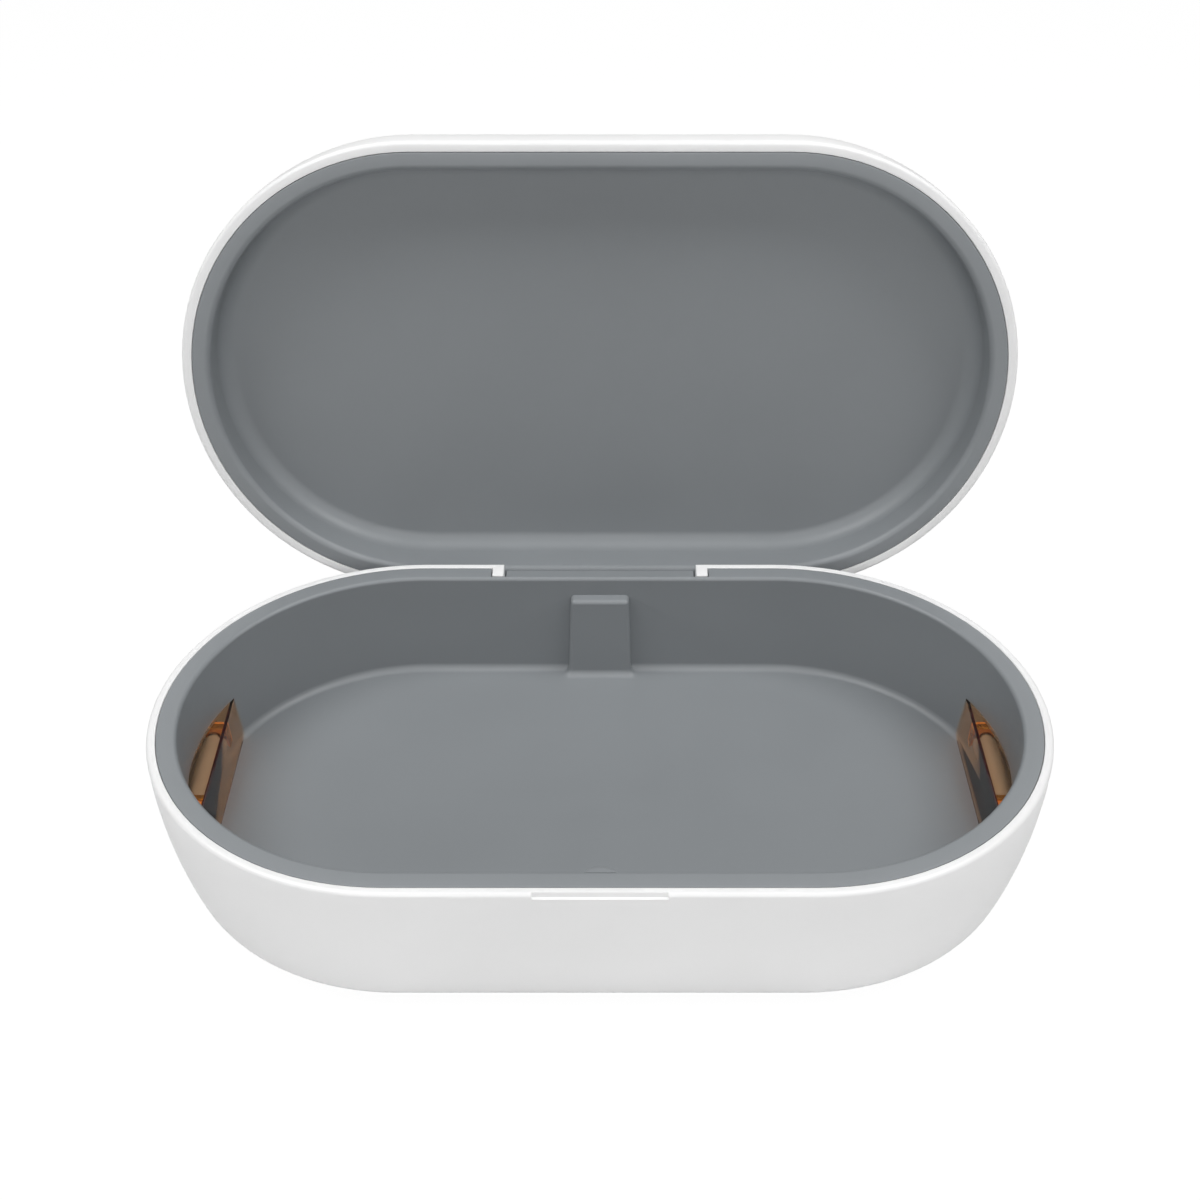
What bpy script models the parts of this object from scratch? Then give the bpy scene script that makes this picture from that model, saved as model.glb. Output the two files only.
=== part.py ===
"""UV sanitizer box for phones, standing open: an obround clamshell with two lamps behind amber covers.

Metres, +Z up. The origin is under the middle of the base, in the plane of its feet. The hinge is at +Y.
"""

import math

import bmesh
import bpy
from mathutils import Matrix, Vector

MM = 0.001

# Plan, shared by every shell: a straight run with a half circle at each end
STRAIGHT_HALF = 45.6 * MM
RIM_RADIUS = 60.6 * MM
RIM_WIDTH = 2.2 * MM
RIM_ROUND = 1.0 * MM

# Gaps between pieces
CLEARANCE = 0.3 * MM
PIN_GAP = 0.08 * MM
SEAT_GAP = 0.2 * MM
OVERRUN = 2.0 * MM
BITE = 0.5 * MM

# Base shell
FOOT_PROUD = 1.0 * MM
BASE_HEIGHT = 40.0 * MM
BASE_LEAN = 6.5 * MM
BASE_BULGE = 1.65 * MM
BASE_CORNER = 7.5 * MM
SHELL_WALL = 2.2 * MM
LEDGE_REACH = 1.2 * MM
LEDGE_HEIGHT = 1.5 * MM
LEDGE_TAPER = 1.3 * MM
LIP_REACH = 1.9 * MM
LIP_THICKNESS = 1.2 * MM
LIP_BACK = 2.0 * MM
NOTCH_WIDTH = 28.5 * MM
NOTCH_DEPTH = 0.75 * MM
NOTCH_HEIGHT = 1.05 * MM

# Base liner
CAVITY_INSET = 4.8 * MM
CAVITY_DRAFT = 0.3 * MM
FLOOR_RISE = 10.2 * MM
CAVITY_EDGE_ROUND = 1.0 * MM
FLOOR_FILLET = 2.0 * MM
FLOOR_THICKNESS = 1.8 * MM
LINER_WALL = 1.6 * MM
FLANGE_THICKNESS = 2.0 * MM
POST_WIDTH = 15.4 * MM
POST_FLARE = 1.4 * MM
POST_PROUD = 3.1 * MM
POST_HEIGHT = 24.5 * MM
POST_ROUND = 1.0 * MM
POST_WALL = 1.5 * MM
BUMP_WIDTH = 7.7 * MM
BUMP_PROUD = 1.75 * MM
BUMP_HEIGHT = 13.0 * MM
BUMP_WALL = 1.3 * MM

# Lid
LID_GAP = 0.5 * MM
LID_HEIGHT = 17.5 * MM
LID_LEAN = 2.5 * MM
LID_BULGE = 0.6 * MM
LID_CORNER = 8.0 * MM
LID_TOP_THICKNESS = 2.0 * MM
DISH_INSET = 4.9 * MM
DISH_DEPTH = 13.0 * MM
DISH_FILLET = 4.5 * MM
DISH_EDGE_ROUND = 0.8 * MM

# Hinge
OPEN_ANGLE = math.radians(96.9)
HINGE_INSET = 3.3 * MM
HINGE_DROP = 7.5 * MM
SLOT_HALF = 25.45 * MM
CHEEK_THICKNESS = 2.9 * MM
SLOT_FRONT_WALL = 0.85 * MM
KNUCKLE_BACK_REACH = 3.0 * MM
KNUCKLE_HANG = 1.0 * MM
STOP_THICKNESS = 1.8 * MM
PIN_RADIUS = 1.0 * MM

# Bottom cover, feet and their screws
COVER_INSET = 15.1 * MM
COVER_THICKNESS = 1.6 * MM
COVER_CHAMFER = 0.4 * MM
FOOT_OUTSET = 6.4 * MM
FOOT_INSET = 9.5 * MM
FOOT_RADIUS = 5.0 * MM
FOOT_THICKNESS = 1.6 * MM
FOOT_ROUND = 0.4 * MM
TOWER_RADIUS = 6.4 * MM
TOWER_HEIGHT = 2.4 * MM
BOSS_RADIUS = 3.4 * MM
SCREW_RADIUS = 1.2 * MM
SCREW_HEAD_RADIUS = 2.2 * MM
SCREW_HEAD_HEIGHT = 1.2 * MM
SCREW_LENGTH = 5.5 * MM

# Main board and what sits on it
BOARD_WIDTH = 76.0 * MM
BOARD_DEPTH = 44.5 * MM
BOARD_INSET = 12.1 * MM
BOARD_THICKNESS = 1.0 * MM
BOARD_CORNER = 2.0 * MM
BOARD_LIFT = 1.8 * MM
BOARD_POST_RADIUS = 2.4 * MM
BOARD_SCREW_INSET = 7.0 * MM
BOARD_SCREW_RADIUS = 0.9 * MM
BOARD_SCREW_HEAD_RADIUS = 1.8 * MM
BOARD_SCREW_HEAD_HEIGHT = 1.0 * MM
BOARD_SCREW_LENGTH = 2.6 * MM
SOCKET_X = -14.0 * MM
SOCKET_WIDTH = 8.94 * MM
SOCKET_HEIGHT = 3.2 * MM
SOCKET_DEPTH = 7.3 * MM
SOCKET_WALL = 0.3 * MM
SOCKET_RECESS = 1.2 * MM
TONGUE_WIDTH = 6.7 * MM
TONGUE_THICKNESS = 0.7 * MM
TONGUE_LENGTH = 4.5 * MM
TRANSFORMER_X = 16.0 * MM
TRANSFORMER_INSET = 24.5 * MM
TRANSFORMER_WIDTH = 15.0 * MM
TRANSFORMER_DEPTH = 10.0 * MM
TRANSFORMER_HEIGHT = 3.3 * MM
TRANSFORMER_BEVEL = 0.5 * MM
CAPACITOR_X = -16.0 * MM
CAPACITOR_INSET = 24.5 * MM
CAPACITOR_RADIUS = 1.6 * MM
CAPACITOR_LENGTH = 9.0 * MM
CAPACITOR_CRIMP = 0.3 * MM

# Power button and the switch that it pushes
BUTTON_X = 14.0 * MM
BUTTON_Z = 6.9 * MM
BUTTON_WIDTH = 10.0 * MM
BUTTON_HEIGHT = 3.6 * MM
BUTTON_PROUD = 0.6 * MM
BUTTON_TRAVEL = 0.5 * MM
BUTTON_REST_GAP = 0.6 * MM
BUTTON_EDGE = 0.3 * MM
BUTTON_FLANGE = 0.5 * MM
BUTTON_FLANGE_INSET = 8.6 * MM
BUTTON_FLANGE_THICKNESS = 1.0 * MM
STEM_RADIUS = 1.1 * MM
SWITCH_WIDTH = 6.0 * MM
SWITCH_DEPTH = 3.6 * MM
SWITCH_HEIGHT = 2.6 * MM
PLUNGER_RADIUS = 1.0 * MM
PLUNGER_LENGTH = 1.0 * MM

# Lamps: a tube between two holders, in a window of the liner's end wall, under an amber cover
LAMP_COVER_REACH = 7.1 * MM
LAMP_COVER_HEIGHT = 13.3 * MM
LAMP_COVER_WALL = 0.8 * MM
LAMP_COVER_LEAN = 0.9 * MM
LAMP_BACK_SHIFT = 2.0 * MM
LAMP_HALF_LENGTH = 12.0 * MM
LAMP_RADIUS = 2.4 * MM
LAMP_HEIGHT = 7.9 * MM
LAMP_STUB_RADIUS = 1.4 * MM
LAMP_STUB_LENGTH = 2.0 * MM
LAMP_DOME = 1.2 * MM
HOLDER_THICKNESS = 2.8 * MM
HOLDER_WIDTH = 4.2 * MM
HOLDER_HEIGHT = 6.0 * MM
HOLDER_BEVEL = 0.4 * MM
WINDOW_INSET = 1.9 * MM

# Lid sensor behind the bump, and the magnet in the lid above it
SENSOR_WIDTH = 4.1 * MM
SENSOR_DEPTH = 1.5 * MM
SENSOR_HEIGHT = 3.1 * MM
SENSOR_DROP = 5.5 * MM
LEAD_WIDTH = 0.5 * MM
LEAD_PITCH = 1.3 * MM
LEAD_LENGTH = 3.0 * MM
MAGNET_WIDTH = 8.0 * MM
MAGNET_DEPTH = 1.5 * MM
MAGNET_HEIGHT = 4.0 * MM

# How finely curves are divided
TURN_STEPS = 10
WALL_STEPS = 5
CORNER_STEPS = 4
EDGE_STEPS = 3
ROUND_SIDES = 20

# Heights and places that follow from the sizes
RIM_Z = FOOT_PROUD + BASE_HEIGHT
LID_Z = RIM_Z + LID_GAP
FLOOR_Z = FOOT_PROUD + FLOOR_RISE
FLOOR_UNDER_Z = FLOOR_Z - FLOOR_THICKNESS
COVER_TOP_Z = FOOT_PROUD + COVER_THICKNESS
BOARD_Z = COVER_TOP_Z + BOARD_LIFT
BOARD_TOP_Z = BOARD_Z + BOARD_THICKNESS
SEAM_RADIUS = RIM_RADIUS - RIM_WIDTH
SEAM_OUTER = SEAM_RADIUS + CLEARANCE / 2
SEAM_INNER = SEAM_RADIUS - CLEARANCE / 2
LEDGE_RADIUS = SEAM_RADIUS - LEDGE_REACH
CAVITY_RADIUS = SEAM_RADIUS - CAVITY_INSET
DISH_RADIUS = SEAM_RADIUS - DISH_INSET
HINGE_BACK = RIM_RADIUS - HINGE_INSET
HINGE_Z = RIM_Z - HINGE_DROP
SLOT_BACK_Y = CAVITY_RADIUS + SLOT_FRONT_WALL
CHEEK_FRONT_Y = SLOT_BACK_Y + CLEARANCE
CHEEK_OUTER_X = SLOT_HALF + CHEEK_THICKNESS
KNUCKLE_FRONT_REACH = HINGE_BACK - CHEEK_FRONT_Y
BORE_RADIUS = PIN_RADIUS + PIN_GAP
RECESS_TOP_Z = FOOT_THICKNESS + CLEARANCE
HEAD_TOP_Z = RECESS_TOP_Z + SCREW_HEAD_HEIGHT
TOWER_TOP_Z = COVER_TOP_Z + TOWER_HEIGHT
COVER_RADIUS = RIM_RADIUS - COVER_INSET
FOOT_X = STRAIGHT_HALF + FOOT_OUTSET
FOOT_Y = COVER_RADIUS - FOOT_INSET
BOARD_BACK = RIM_RADIUS - BOARD_INSET
BOARD_FRONT = BOARD_BACK - BOARD_DEPTH
BOARD_SCREW_X = BOARD_WIDTH / 2 - BOARD_SCREW_INSET
BOARD_SCREW_Y = BOARD_FRONT + BOARD_SCREW_INSET
TRANSFORMER_Y = BOARD_BACK - TRANSFORMER_INSET
CAPACITOR_Y = BOARD_BACK - CAPACITOR_INSET
BUTTON_FLANGE_BACK = RIM_RADIUS - BUTTON_FLANGE_INSET
LAMP_COVER_X = STRAIGHT_HALF + CAVITY_RADIUS - LAMP_COVER_REACH
LAMP_COVER_SLOPE = LAMP_COVER_LEAN / LAMP_COVER_HEIGHT
LAMP_COVER_BACK_X = LAMP_COVER_X + LAMP_COVER_WALL + LAMP_COVER_SLOPE * (LAMP_HEIGHT + HOLDER_HEIGHT / 2)
LAMP_X = LAMP_COVER_BACK_X + SEAT_GAP + max(LAMP_RADIUS, HOLDER_WIDTH / 2)
WINDOW_FRONT_X = LAMP_COVER_X + WINDOW_INSET
LAMP_Y = LAMP_BACK_SHIFT
LAMP_Z = FLOOR_Z + LAMP_HEIGHT

COLOURS = {
    "white_shell": ((0.86, 0.86, 0.86), 0.35, 0.0),
    "grey_liner": ((0.17, 0.18, 0.19), 0.5, 0.0),
    "amber_clear": ((0.55, 0.23, 0.06), 0.1, 0.0),
    "lamp_glass": ((0.45, 0.45, 0.46), 0.1, 0.0),
    "holder": ((0.75, 0.38, 0.1), 0.5, 0.0),
    "steel": ((0.6, 0.6, 0.6), 0.3, 1.0),
    "rubber": ((0.09, 0.09, 0.09), 0.9, 0.0),
    "board": ((0.05, 0.22, 0.11), 0.5, 0.0),
    "dark_plastic": ((0.04, 0.04, 0.04), 0.5, 0.0),
}


def clear_scene():
    for obj in list(bpy.data.objects):
        bpy.data.objects.remove(obj, do_unlink=True)
    for name in ("uv_phone_sanitizer", "cutters"):
        collection = bpy.data.collections.new(name)
        bpy.context.scene.collection.children.link(collection)


def material(name):
    found = bpy.data.materials.get(name)
    if found:
        return found
    colour, roughness, metallic = COLOURS[name]
    made = bpy.data.materials.new(name)
    made.use_nodes = True
    made.diffuse_color = (*colour, 1.0)
    shader = made.node_tree.nodes["Principled BSDF"]
    shader.inputs["Base Color"].default_value = (*colour, 1.0)
    shader.inputs["Roughness"].default_value = roughness
    shader.inputs["Metallic"].default_value = metallic
    return made


def add_object(name, bm, look=None, parent=None):
    """The bmesh as an object: a part with a look, or without one a helper that isn't built."""
    bmesh.ops.recalc_face_normals(bm, faces=bm.faces[:])
    mesh = bpy.data.meshes.new(name)
    bm.to_mesh(mesh)
    bm.free()
    obj = bpy.data.objects.new(name, mesh)
    bpy.data.collections["uv_phone_sanitizer" if look else "cutters"].objects.link(obj)
    if look:
        mesh.materials.append(material(look))
        mesh.shade_smooth()
        mesh.set_sharp_from_angle(angle=math.radians(30))
    else:
        obj.hide_render = True
        obj.display_type = "WIRE"
    obj.parent = parent
    return obj


def boolean(obj, operation, *others):
    for other in others:
        modifier = obj.modifiers.new(other.name, "BOOLEAN")
        modifier.operation = operation
        modifier.solver = "EXACT"
        modifier.object = other


def arc(centre, radius, start, end, steps):
    """Points (across, up) from one angle in degrees to another."""
    angles = [math.radians(start + (end - start) * i / steps) for i in range(steps + 1)]
    return [(centre[0] + radius * math.cos(a), centre[1] + radius * math.sin(a)) for a in angles]


def bowed_wall(height, lean, bulge, corner, inset, top):
    """A bowed wall and its rounded corner, from `top` below the rim down to the flat, moved in by inset."""
    chord = math.hypot(lean, height)
    radius = chord**2 / (8 * bulge) + bulge / 2
    bow_x = RIM_RADIUS - lean / 2 - height / chord * (radius - bulge)
    bow_z = -height / 2 + lean / chord * (radius - bulge)
    corner_z = corner - height
    corner_x = bow_x + math.sqrt((radius - corner) ** 2 - (corner_z - bow_z) ** 2)
    meet = math.degrees(math.atan2(corner_z - bow_z, corner_x - bow_x))
    start = math.degrees(math.asin((-top - bow_z) / (radius - inset)))
    wall = arc((bow_x, bow_z), radius - inset, start, meet, WALL_STEPS)
    return wall + arc((corner_x, corner_z), corner - inset, meet, -90, CORNER_STEPS)[1:]


def base_wall(inset, top):
    points = bowed_wall(BASE_HEIGHT, BASE_LEAN, BASE_BULGE, BASE_CORNER, inset, top)
    return [(r, RIM_Z + z) for r, z in points]


def lid_wall(inset, top):
    points = bowed_wall(LID_HEIGHT, LID_LEAN, LID_BULGE, LID_CORNER, inset, top)
    return [(r, LID_Z - z) for r, z in points]


def obround(name, profile, look=None, parent=None):
    """A profile of (distance from the spine, height) swept round the obround. One that reaches the spine is open."""
    bm = bmesh.new()
    points = [bm.verts.new((STRAIGHT_HALF + r, 0, z)) for r, z in profile]
    pairs = list(zip(points, points[1:]))
    if profile[0][0] > 0:
        pairs.append((points[-1], points[0]))
    edges = [bm.edges.new(pair) for pair in pairs]
    swept = bmesh.ops.spin(
        bm,
        geom=points + edges,
        cent=(STRAIGHT_HALF, 0, 0),
        axis=(0, 0, 1),
        angle=math.pi / 2,
        steps=TURN_STEPS,
    )
    last = [item for item in swept["geom_last"] if isinstance(item, bmesh.types.BMEdge)]
    run = bmesh.ops.extrude_edge_only(bm, edges=last)
    moved = [item for item in run["geom"] if isinstance(item, bmesh.types.BMVert)]
    bmesh.ops.translate(bm, verts=moved, vec=(-STRAIGHT_HALF, 0, 0))
    bmesh.ops.remove_doubles(bm, verts=bm.verts[:], dist=MM / 1000)
    obj = add_object(name, bm, look, parent)
    mirror = obj.modifiers.new("Mirror", "MIRROR")
    mirror.use_axis = (True, True, False)
    mirror.merge_threshold = MM / 1000
    return obj


def turned(name, profile, place, tilt, look=None, parent=None):
    """A (radius, height) profile, top to bottom, turned about an axis that tilt leans over from +Z."""
    bm = bmesh.new()
    points = [bm.verts.new((r, 0, z)) for r, z in profile]
    for pair in zip(points, points[1:]):
        bm.edges.new(pair)
    obj = add_object(name, bm, look, parent)
    obj.location = place
    obj.rotation_euler = tilt
    screw = obj.modifiers.new("Screw", "SCREW")
    screw.steps = screw.render_steps = ROUND_SIDES
    screw.use_merge_vertices = True
    screw.merge_threshold = MM / 1000
    return obj


def box(name, low, high, look=None, parent=None, bevel=None):
    """A box between two corners; bevel rounds every edge."""
    bm = bmesh.new()
    size = Vector(high) - Vector(low)
    middle = (Vector(high) + Vector(low)) / 2
    bmesh.ops.create_cube(bm, size=1, matrix=Matrix.Translation(middle) @ Matrix.Diagonal((*size, 1)))
    if bevel:
        bmesh.ops.bevel(bm, geom=bm.edges[:], offset=bevel, segments=2, profile=0.5, affect="EDGES")
    return add_object(name, bm, look, parent)


def rod(name, start, end, radius, look=None, parent=None):
    """A round rod between two points."""
    bm = bmesh.new()
    along = Vector(end) - Vector(start)
    turn = along.to_track_quat("Z", "Y").to_matrix().to_4x4()
    middle = Matrix.Translation((Vector(start) + Vector(end)) / 2)
    bmesh.ops.create_cone(
        bm,
        cap_ends=True,
        segments=ROUND_SIDES,
        radius1=radius,
        radius2=radius,
        depth=along.length,
        matrix=middle @ turn,
    )
    return add_object(name, bm, look, parent)


def prism(name, outline, start, end, place, look=None, parent=None):
    """An outline of (first, second) coordinates, with place putting each into space, from start to end."""
    bm = bmesh.new()
    face = bm.faces.new([bm.verts.new(place(a, b, start)) for a, b in outline])
    grown = bmesh.ops.extrude_face_region(bm, geom=[face])
    moved = [item for item in grown["geom"] if isinstance(item, bmesh.types.BMVert)]
    step = Vector(place(0, 0, end)) - Vector(place(0, 0, start))
    bmesh.ops.translate(bm, verts=moved, vec=step)
    return add_object(name, bm, look, parent)


def along_x(y, z, x):
    return (x, y, z)


def along_y(x, z, y):
    return (x, y, z)


def along_z(x, y, z):
    return (x, y, z)


def slot_outline(x, z, width, height):
    """An upright obround, wider than high."""
    reach = (width - height) / 2
    half = height / 2
    right = arc((x + reach, z), half, -90, 90, CORNER_STEPS)
    return right + arc((x - reach, z), half, 90, 270, CORNER_STEPS)


def corners():
    """The name and place of each foot and cover screw."""
    for y_name, y in (("front", -FOOT_Y), ("back", FOOT_Y)):
        for x_name, x in (("left", -FOOT_X), ("right", FOOT_X)):
            yield f"{y_name}_{x_name}", x, y


def sides():
    """The name and sign of each end of the box."""
    return ("left", -1), ("right", 1)


def stop_height(y):
    """The floor of the hinge slot, on which the open lid's knuckle rests."""
    lean = OPEN_ANGLE - math.pi / 2
    reach = KNUCKLE_BACK_REACH + CLEARANCE
    return HINGE_Z - (reach + math.sin(lean) * (y - HINGE_BACK)) / math.cos(lean)


def base_shell():
    lip_z = COVER_TOP_Z + CLEARANCE
    lip_top = lip_z + LIP_THICKNESS
    seat_radius = COVER_RADIUS + CLEARANCE
    lip_radius = seat_radius - LIP_REACH
    ledge_top = RIM_Z - FLANGE_THICKNESS - CLEARANCE
    ledge_foot = ledge_top - LEDGE_HEIGHT
    rim_edge = arc((RIM_RADIUS - RIM_ROUND, RIM_Z - RIM_ROUND), RIM_ROUND, 90, 0, EDGE_STEPS)
    inner = base_wall(SHELL_WALL, RIM_Z - ledge_foot + LEDGE_TAPER)
    profile = [(SEAM_OUTER, RIM_Z), *rim_edge, *base_wall(0, RIM_ROUND)[1:]]
    profile += [(seat_radius, FOOT_PROUD), (seat_radius, lip_z), (lip_radius, lip_z)]
    profile += [(lip_radius, lip_top), (seat_radius + LIP_BACK, lip_top), *reversed(inner)]
    profile += [(LEDGE_RADIUS, ledge_foot), (LEDGE_RADIUS, ledge_top), (SEAM_OUTER, ledge_top)]
    shell = obround("base_shell", profile, "white_shell")
    inside_wall = RIM_RADIUS - RIM_ROUND - BITE
    pocket_foot = stop_height(inside_wall) - STOP_THICKNESS
    pocket = box(
        "hinge_pocket",
        (-CHEEK_OUTER_X, CHEEK_FRONT_Y, pocket_foot),
        (CHEEK_OUTER_X, inside_wall, RIM_Z),
    )
    front, back = CHEEK_FRONT_Y - OVERRUN, RIM_RADIUS + OVERRUN
    above = RIM_Z + OVERRUN
    outline = [(front, above), (front, stop_height(front)), (back, stop_height(back)), (back, above)]
    slot = prism("hinge_slot", outline, -SLOT_HALF, SLOT_HALF, along_x)
    reach = CHEEK_OUTER_X + OVERRUN
    bore = rod("pin_bore", (-reach, HINGE_BACK, HINGE_Z), (reach, HINGE_BACK, HINGE_Z), BORE_RADIUS)
    notch = box(
        "finger_notch",
        (-NOTCH_WIDTH / 2, -RIM_RADIUS - OVERRUN, RIM_Z - NOTCH_HEIGHT),
        (NOTCH_WIDTH / 2, NOTCH_DEPTH - RIM_RADIUS, above),
    )
    socket = slot_outline(SOCKET_X, socket_z(), SOCKET_WIDTH + 2 * CLEARANCE, SOCKET_HEIGHT + 2 * CLEARANCE)
    button = slot_outline(BUTTON_X, BUTTON_Z, BUTTON_WIDTH + 2 * CLEARANCE, BUTTON_HEIGHT + 2 * CLEARANCE)
    inside = BUTTON_FLANGE_BACK - OVERRUN
    socket_hole = prism("socket_hole", socket, inside, back, along_y)
    button_hole = prism("button_hole", button, inside, back, along_y)
    boolean(shell, "UNION", pocket)
    boolean(shell, "DIFFERENCE", slot, bore, notch, socket_hole, button_hole)


def socket_z():
    return BOARD_TOP_Z + SEAT_GAP + SOCKET_HEIGHT / 2


def cavity_wall(gap):
    """The cavity's floor corner and wall, moved in by gap, from the flat of the floor upwards."""
    foot = CAVITY_RADIUS - CAVITY_DRAFT
    centre = (foot - FLOOR_FILLET, FLOOR_Z + FLOOR_FILLET)
    return arc(centre, FLOOR_FILLET - gap, -90, 0, CORNER_STEPS)


def base_liner():
    edge_centre = (CAVITY_RADIUS + CAVITY_EDGE_ROUND, RIM_Z - CAVITY_EDGE_ROUND)
    edge = arc(edge_centre, CAVITY_EDGE_ROUND, 180, 90, EDGE_STEPS)
    flange_z = RIM_Z - FLANGE_THICKNESS
    outer = CAVITY_RADIUS + LINER_WALL
    profile = [(0, FLOOR_Z), *cavity_wall(0), *edge, (SEAM_INNER, RIM_Z), (SEAM_INNER, flange_z)]
    profile += [(outer, flange_z), *reversed(cavity_wall(-LINER_WALL)), (0, FLOOR_UNDER_Z)]
    profile[-2] = (profile[-2][0], FLOOR_UNDER_Z)
    liner = obround("base_liner", profile, "grey_liner")
    boolean(liner, "UNION", back_post(), front_bump(), *liner_bosses())
    boolean(liner, "DIFFERENCE", *liner_cuts())


def back_post():
    """The post on the back wall: a rounded block, a little wider at its foot."""
    bm = bmesh.new()
    front, back = CAVITY_RADIUS - POST_PROUD, CAVITY_RADIUS + BITE
    top, half = FLOOR_Z + POST_HEIGHT, POST_WIDTH / 2
    outline = [(-half, top), (half, top), (half + POST_FLARE / 2, FLOOR_Z - BITE)]
    outline.append((-outline[2][0], FLOOR_Z - BITE))
    face = bm.faces.new([bm.verts.new((x, front, z)) for x, z in outline])
    grown = bmesh.ops.extrude_face_region(bm, geom=[face])
    moved = [item for item in grown["geom"] if isinstance(item, bmesh.types.BMVert)]
    bmesh.ops.translate(bm, verts=moved, vec=(0, back - front, 0))
    edges = [edge for edge in bm.edges if any(v.co.y < back - BITE for v in edge.verts)]
    edges = [edge for edge in edges if max(v.co.z for v in edge.verts) > FLOOR_Z]
    bmesh.ops.bevel(bm, geom=edges, offset=POST_ROUND, segments=2, profile=0.5, affect="EDGES")
    return add_object("back_post", bm)


def front_bump():
    """The smooth bump inside the front wall, an arc in plan, its top edge rounded like the cavity's."""
    half = BUMP_WIDTH / 2
    radius = (half**2 + BUMP_PROUD**2) / (2 * BUMP_PROUD)
    spread = math.degrees(math.asin(half / radius))
    centre_y = BUMP_PROUD - CAVITY_RADIUS - radius
    curve = arc((0, centre_y), radius, 90 - spread, 90 + spread, 2 * CORNER_STEPS)
    back = -CAVITY_RADIUS - BITE
    outline = [(half, back), *curve, (-half, back)]
    bump = prism("front_bump", outline, RIM_Z - BUMP_HEIGHT, RIM_Z, along_z)
    bm = bmesh.new()
    bm.from_mesh(bump.data)
    edges = [e for e in bm.edges if min(v.co.z for v in e.verts) > RIM_Z - BITE]
    edges = [e for e in edges if max(v.co.y for v in e.verts) > BITE - CAVITY_RADIUS]
    bmesh.ops.bevel(bm, geom=edges, offset=CAVITY_EDGE_ROUND, segments=2, profile=0.5, affect="EDGES")
    bm.to_mesh(bump.data)
    bm.free()
    return bump


def liner_bosses():
    for name, x, y in corners():
        low = TOWER_TOP_Z + CLEARANCE
        yield rod(f"boss_{name}", (x, y, low), (x, y, FLOOR_UNDER_Z + BITE), BOSS_RADIUS)


def liner_cuts():
    """Screw holes, the hollows behind the post and the bump, the hinge's relief and the lamp windows."""
    hole = SCREW_RADIUS + CLEARANCE
    top = HEAD_TOP_Z + SCREW_LENGTH + CLEARANCE
    for name, x, y in corners():
        yield rod(f"boss_hole_{name}", (x, y, TOWER_TOP_Z - OVERRUN), (x, y, top), hole)
    pocket_foot = stop_height(RIM_RADIUS - RIM_ROUND - BITE) - STOP_THICKNESS - CLEARANCE
    relief_half = CHEEK_OUTER_X + CLEARANCE
    yield box(
        "hinge_relief",
        (-relief_half, SLOT_BACK_Y, pocket_foot),
        (relief_half, RIM_RADIUS + OVERRUN, RIM_Z + OVERRUN),
    )
    core = POST_WIDTH / 2 - POST_WALL
    post_face = CAVITY_RADIUS - POST_PROUD + POST_WALL
    post_top = min(FLOOR_Z + POST_HEIGHT - POST_WALL, pocket_foot - POST_WALL)
    yield box(
        "post_hollow",
        (-core, post_face, FLOOR_Z + FLOOR_FILLET),
        (core, RIM_RADIUS + OVERRUN, post_top),
    )
    sensor_half = SENSOR_WIDTH / 2 + CLEARANCE
    sensor_top = RIM_Z - SENSOR_DROP + CLEARANCE
    yield box(
        "sensor_hollow",
        (-sensor_half, -RIM_RADIUS - OVERRUN, sensor_top - SENSOR_HEIGHT - LEAD_LENGTH - 2 * CLEARANCE),
        (sensor_half, BUMP_PROUD - CAVITY_RADIUS - BUMP_WALL, sensor_top),
    )
    half = LAMP_HALF_LENGTH + HOLDER_THICKNESS + 2 * CLEARANCE
    sill = LAMP_Z - HOLDER_HEIGHT / 2 - CLEARANCE
    head = LAMP_Z + HOLDER_HEIGHT / 2 + CLEARANCE
    for name, sign in sides():
        near, far = sign * WINDOW_FRONT_X, sign * (STRAIGHT_HALF + RIM_RADIUS)
        yield box(
            f"lamp_window_{name}",
            (min(near, far), LAMP_Y - half, sill),
            (max(near, far), LAMP_Y + half, head),
        )


def bottom_cover():
    chamfer = COVER_RADIUS - COVER_CHAMFER
    profile = [(0, FOOT_PROUD), (chamfer, FOOT_PROUD), (COVER_RADIUS, FOOT_PROUD + COVER_CHAMFER)]
    profile += [(COVER_RADIUS, COVER_TOP_Z), (0, COVER_TOP_Z)]
    cover = obround("bottom_cover", profile, "white_shell")
    under = FOOT_PROUD - OVERRUN
    for name, x, y in corners():
        tower = rod(f"tower_{name}", (x, y, COVER_TOP_Z - BITE), (x, y, TOWER_TOP_Z), TOWER_RADIUS)
        recess = rod(f"recess_{name}", (x, y, under), (x, y, RECESS_TOP_Z), FOOT_RADIUS + CLEARANCE)
        head_top = HEAD_TOP_Z + CLEARANCE
        head_hole = rod(f"head_hole_{name}", (x, y, under), (x, y, head_top), SCREW_HEAD_RADIUS + CLEARANCE)
        above = TOWER_TOP_Z + OVERRUN
        shank_hole = rod(f"shank_hole_{name}", (x, y, under), (x, y, above), SCREW_RADIUS + CLEARANCE)
        boolean(cover, "UNION", tower)
        boolean(cover, "DIFFERENCE", recess, head_hole, shank_hole)
    post_top = BOARD_Z - SEAT_GAP
    for name, sign in sides():
        x, y = sign * BOARD_SCREW_X, BOARD_SCREW_Y
        post = rod(f"board_post_{name}", (x, y, COVER_TOP_Z - BITE), (x, y, post_top), BOARD_POST_RADIUS)
        foot = BOARD_TOP_Z + SEAT_GAP - BOARD_SCREW_LENGTH - CLEARANCE
        hole = rod(
            f"board_post_hole_{name}",
            (x, y, foot),
            (x, y, post_top + OVERRUN),
            BOARD_SCREW_RADIUS + CLEARANCE,
        )
        boolean(cover, "UNION", post)
        boolean(cover, "DIFFERENCE", hole)


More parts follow.
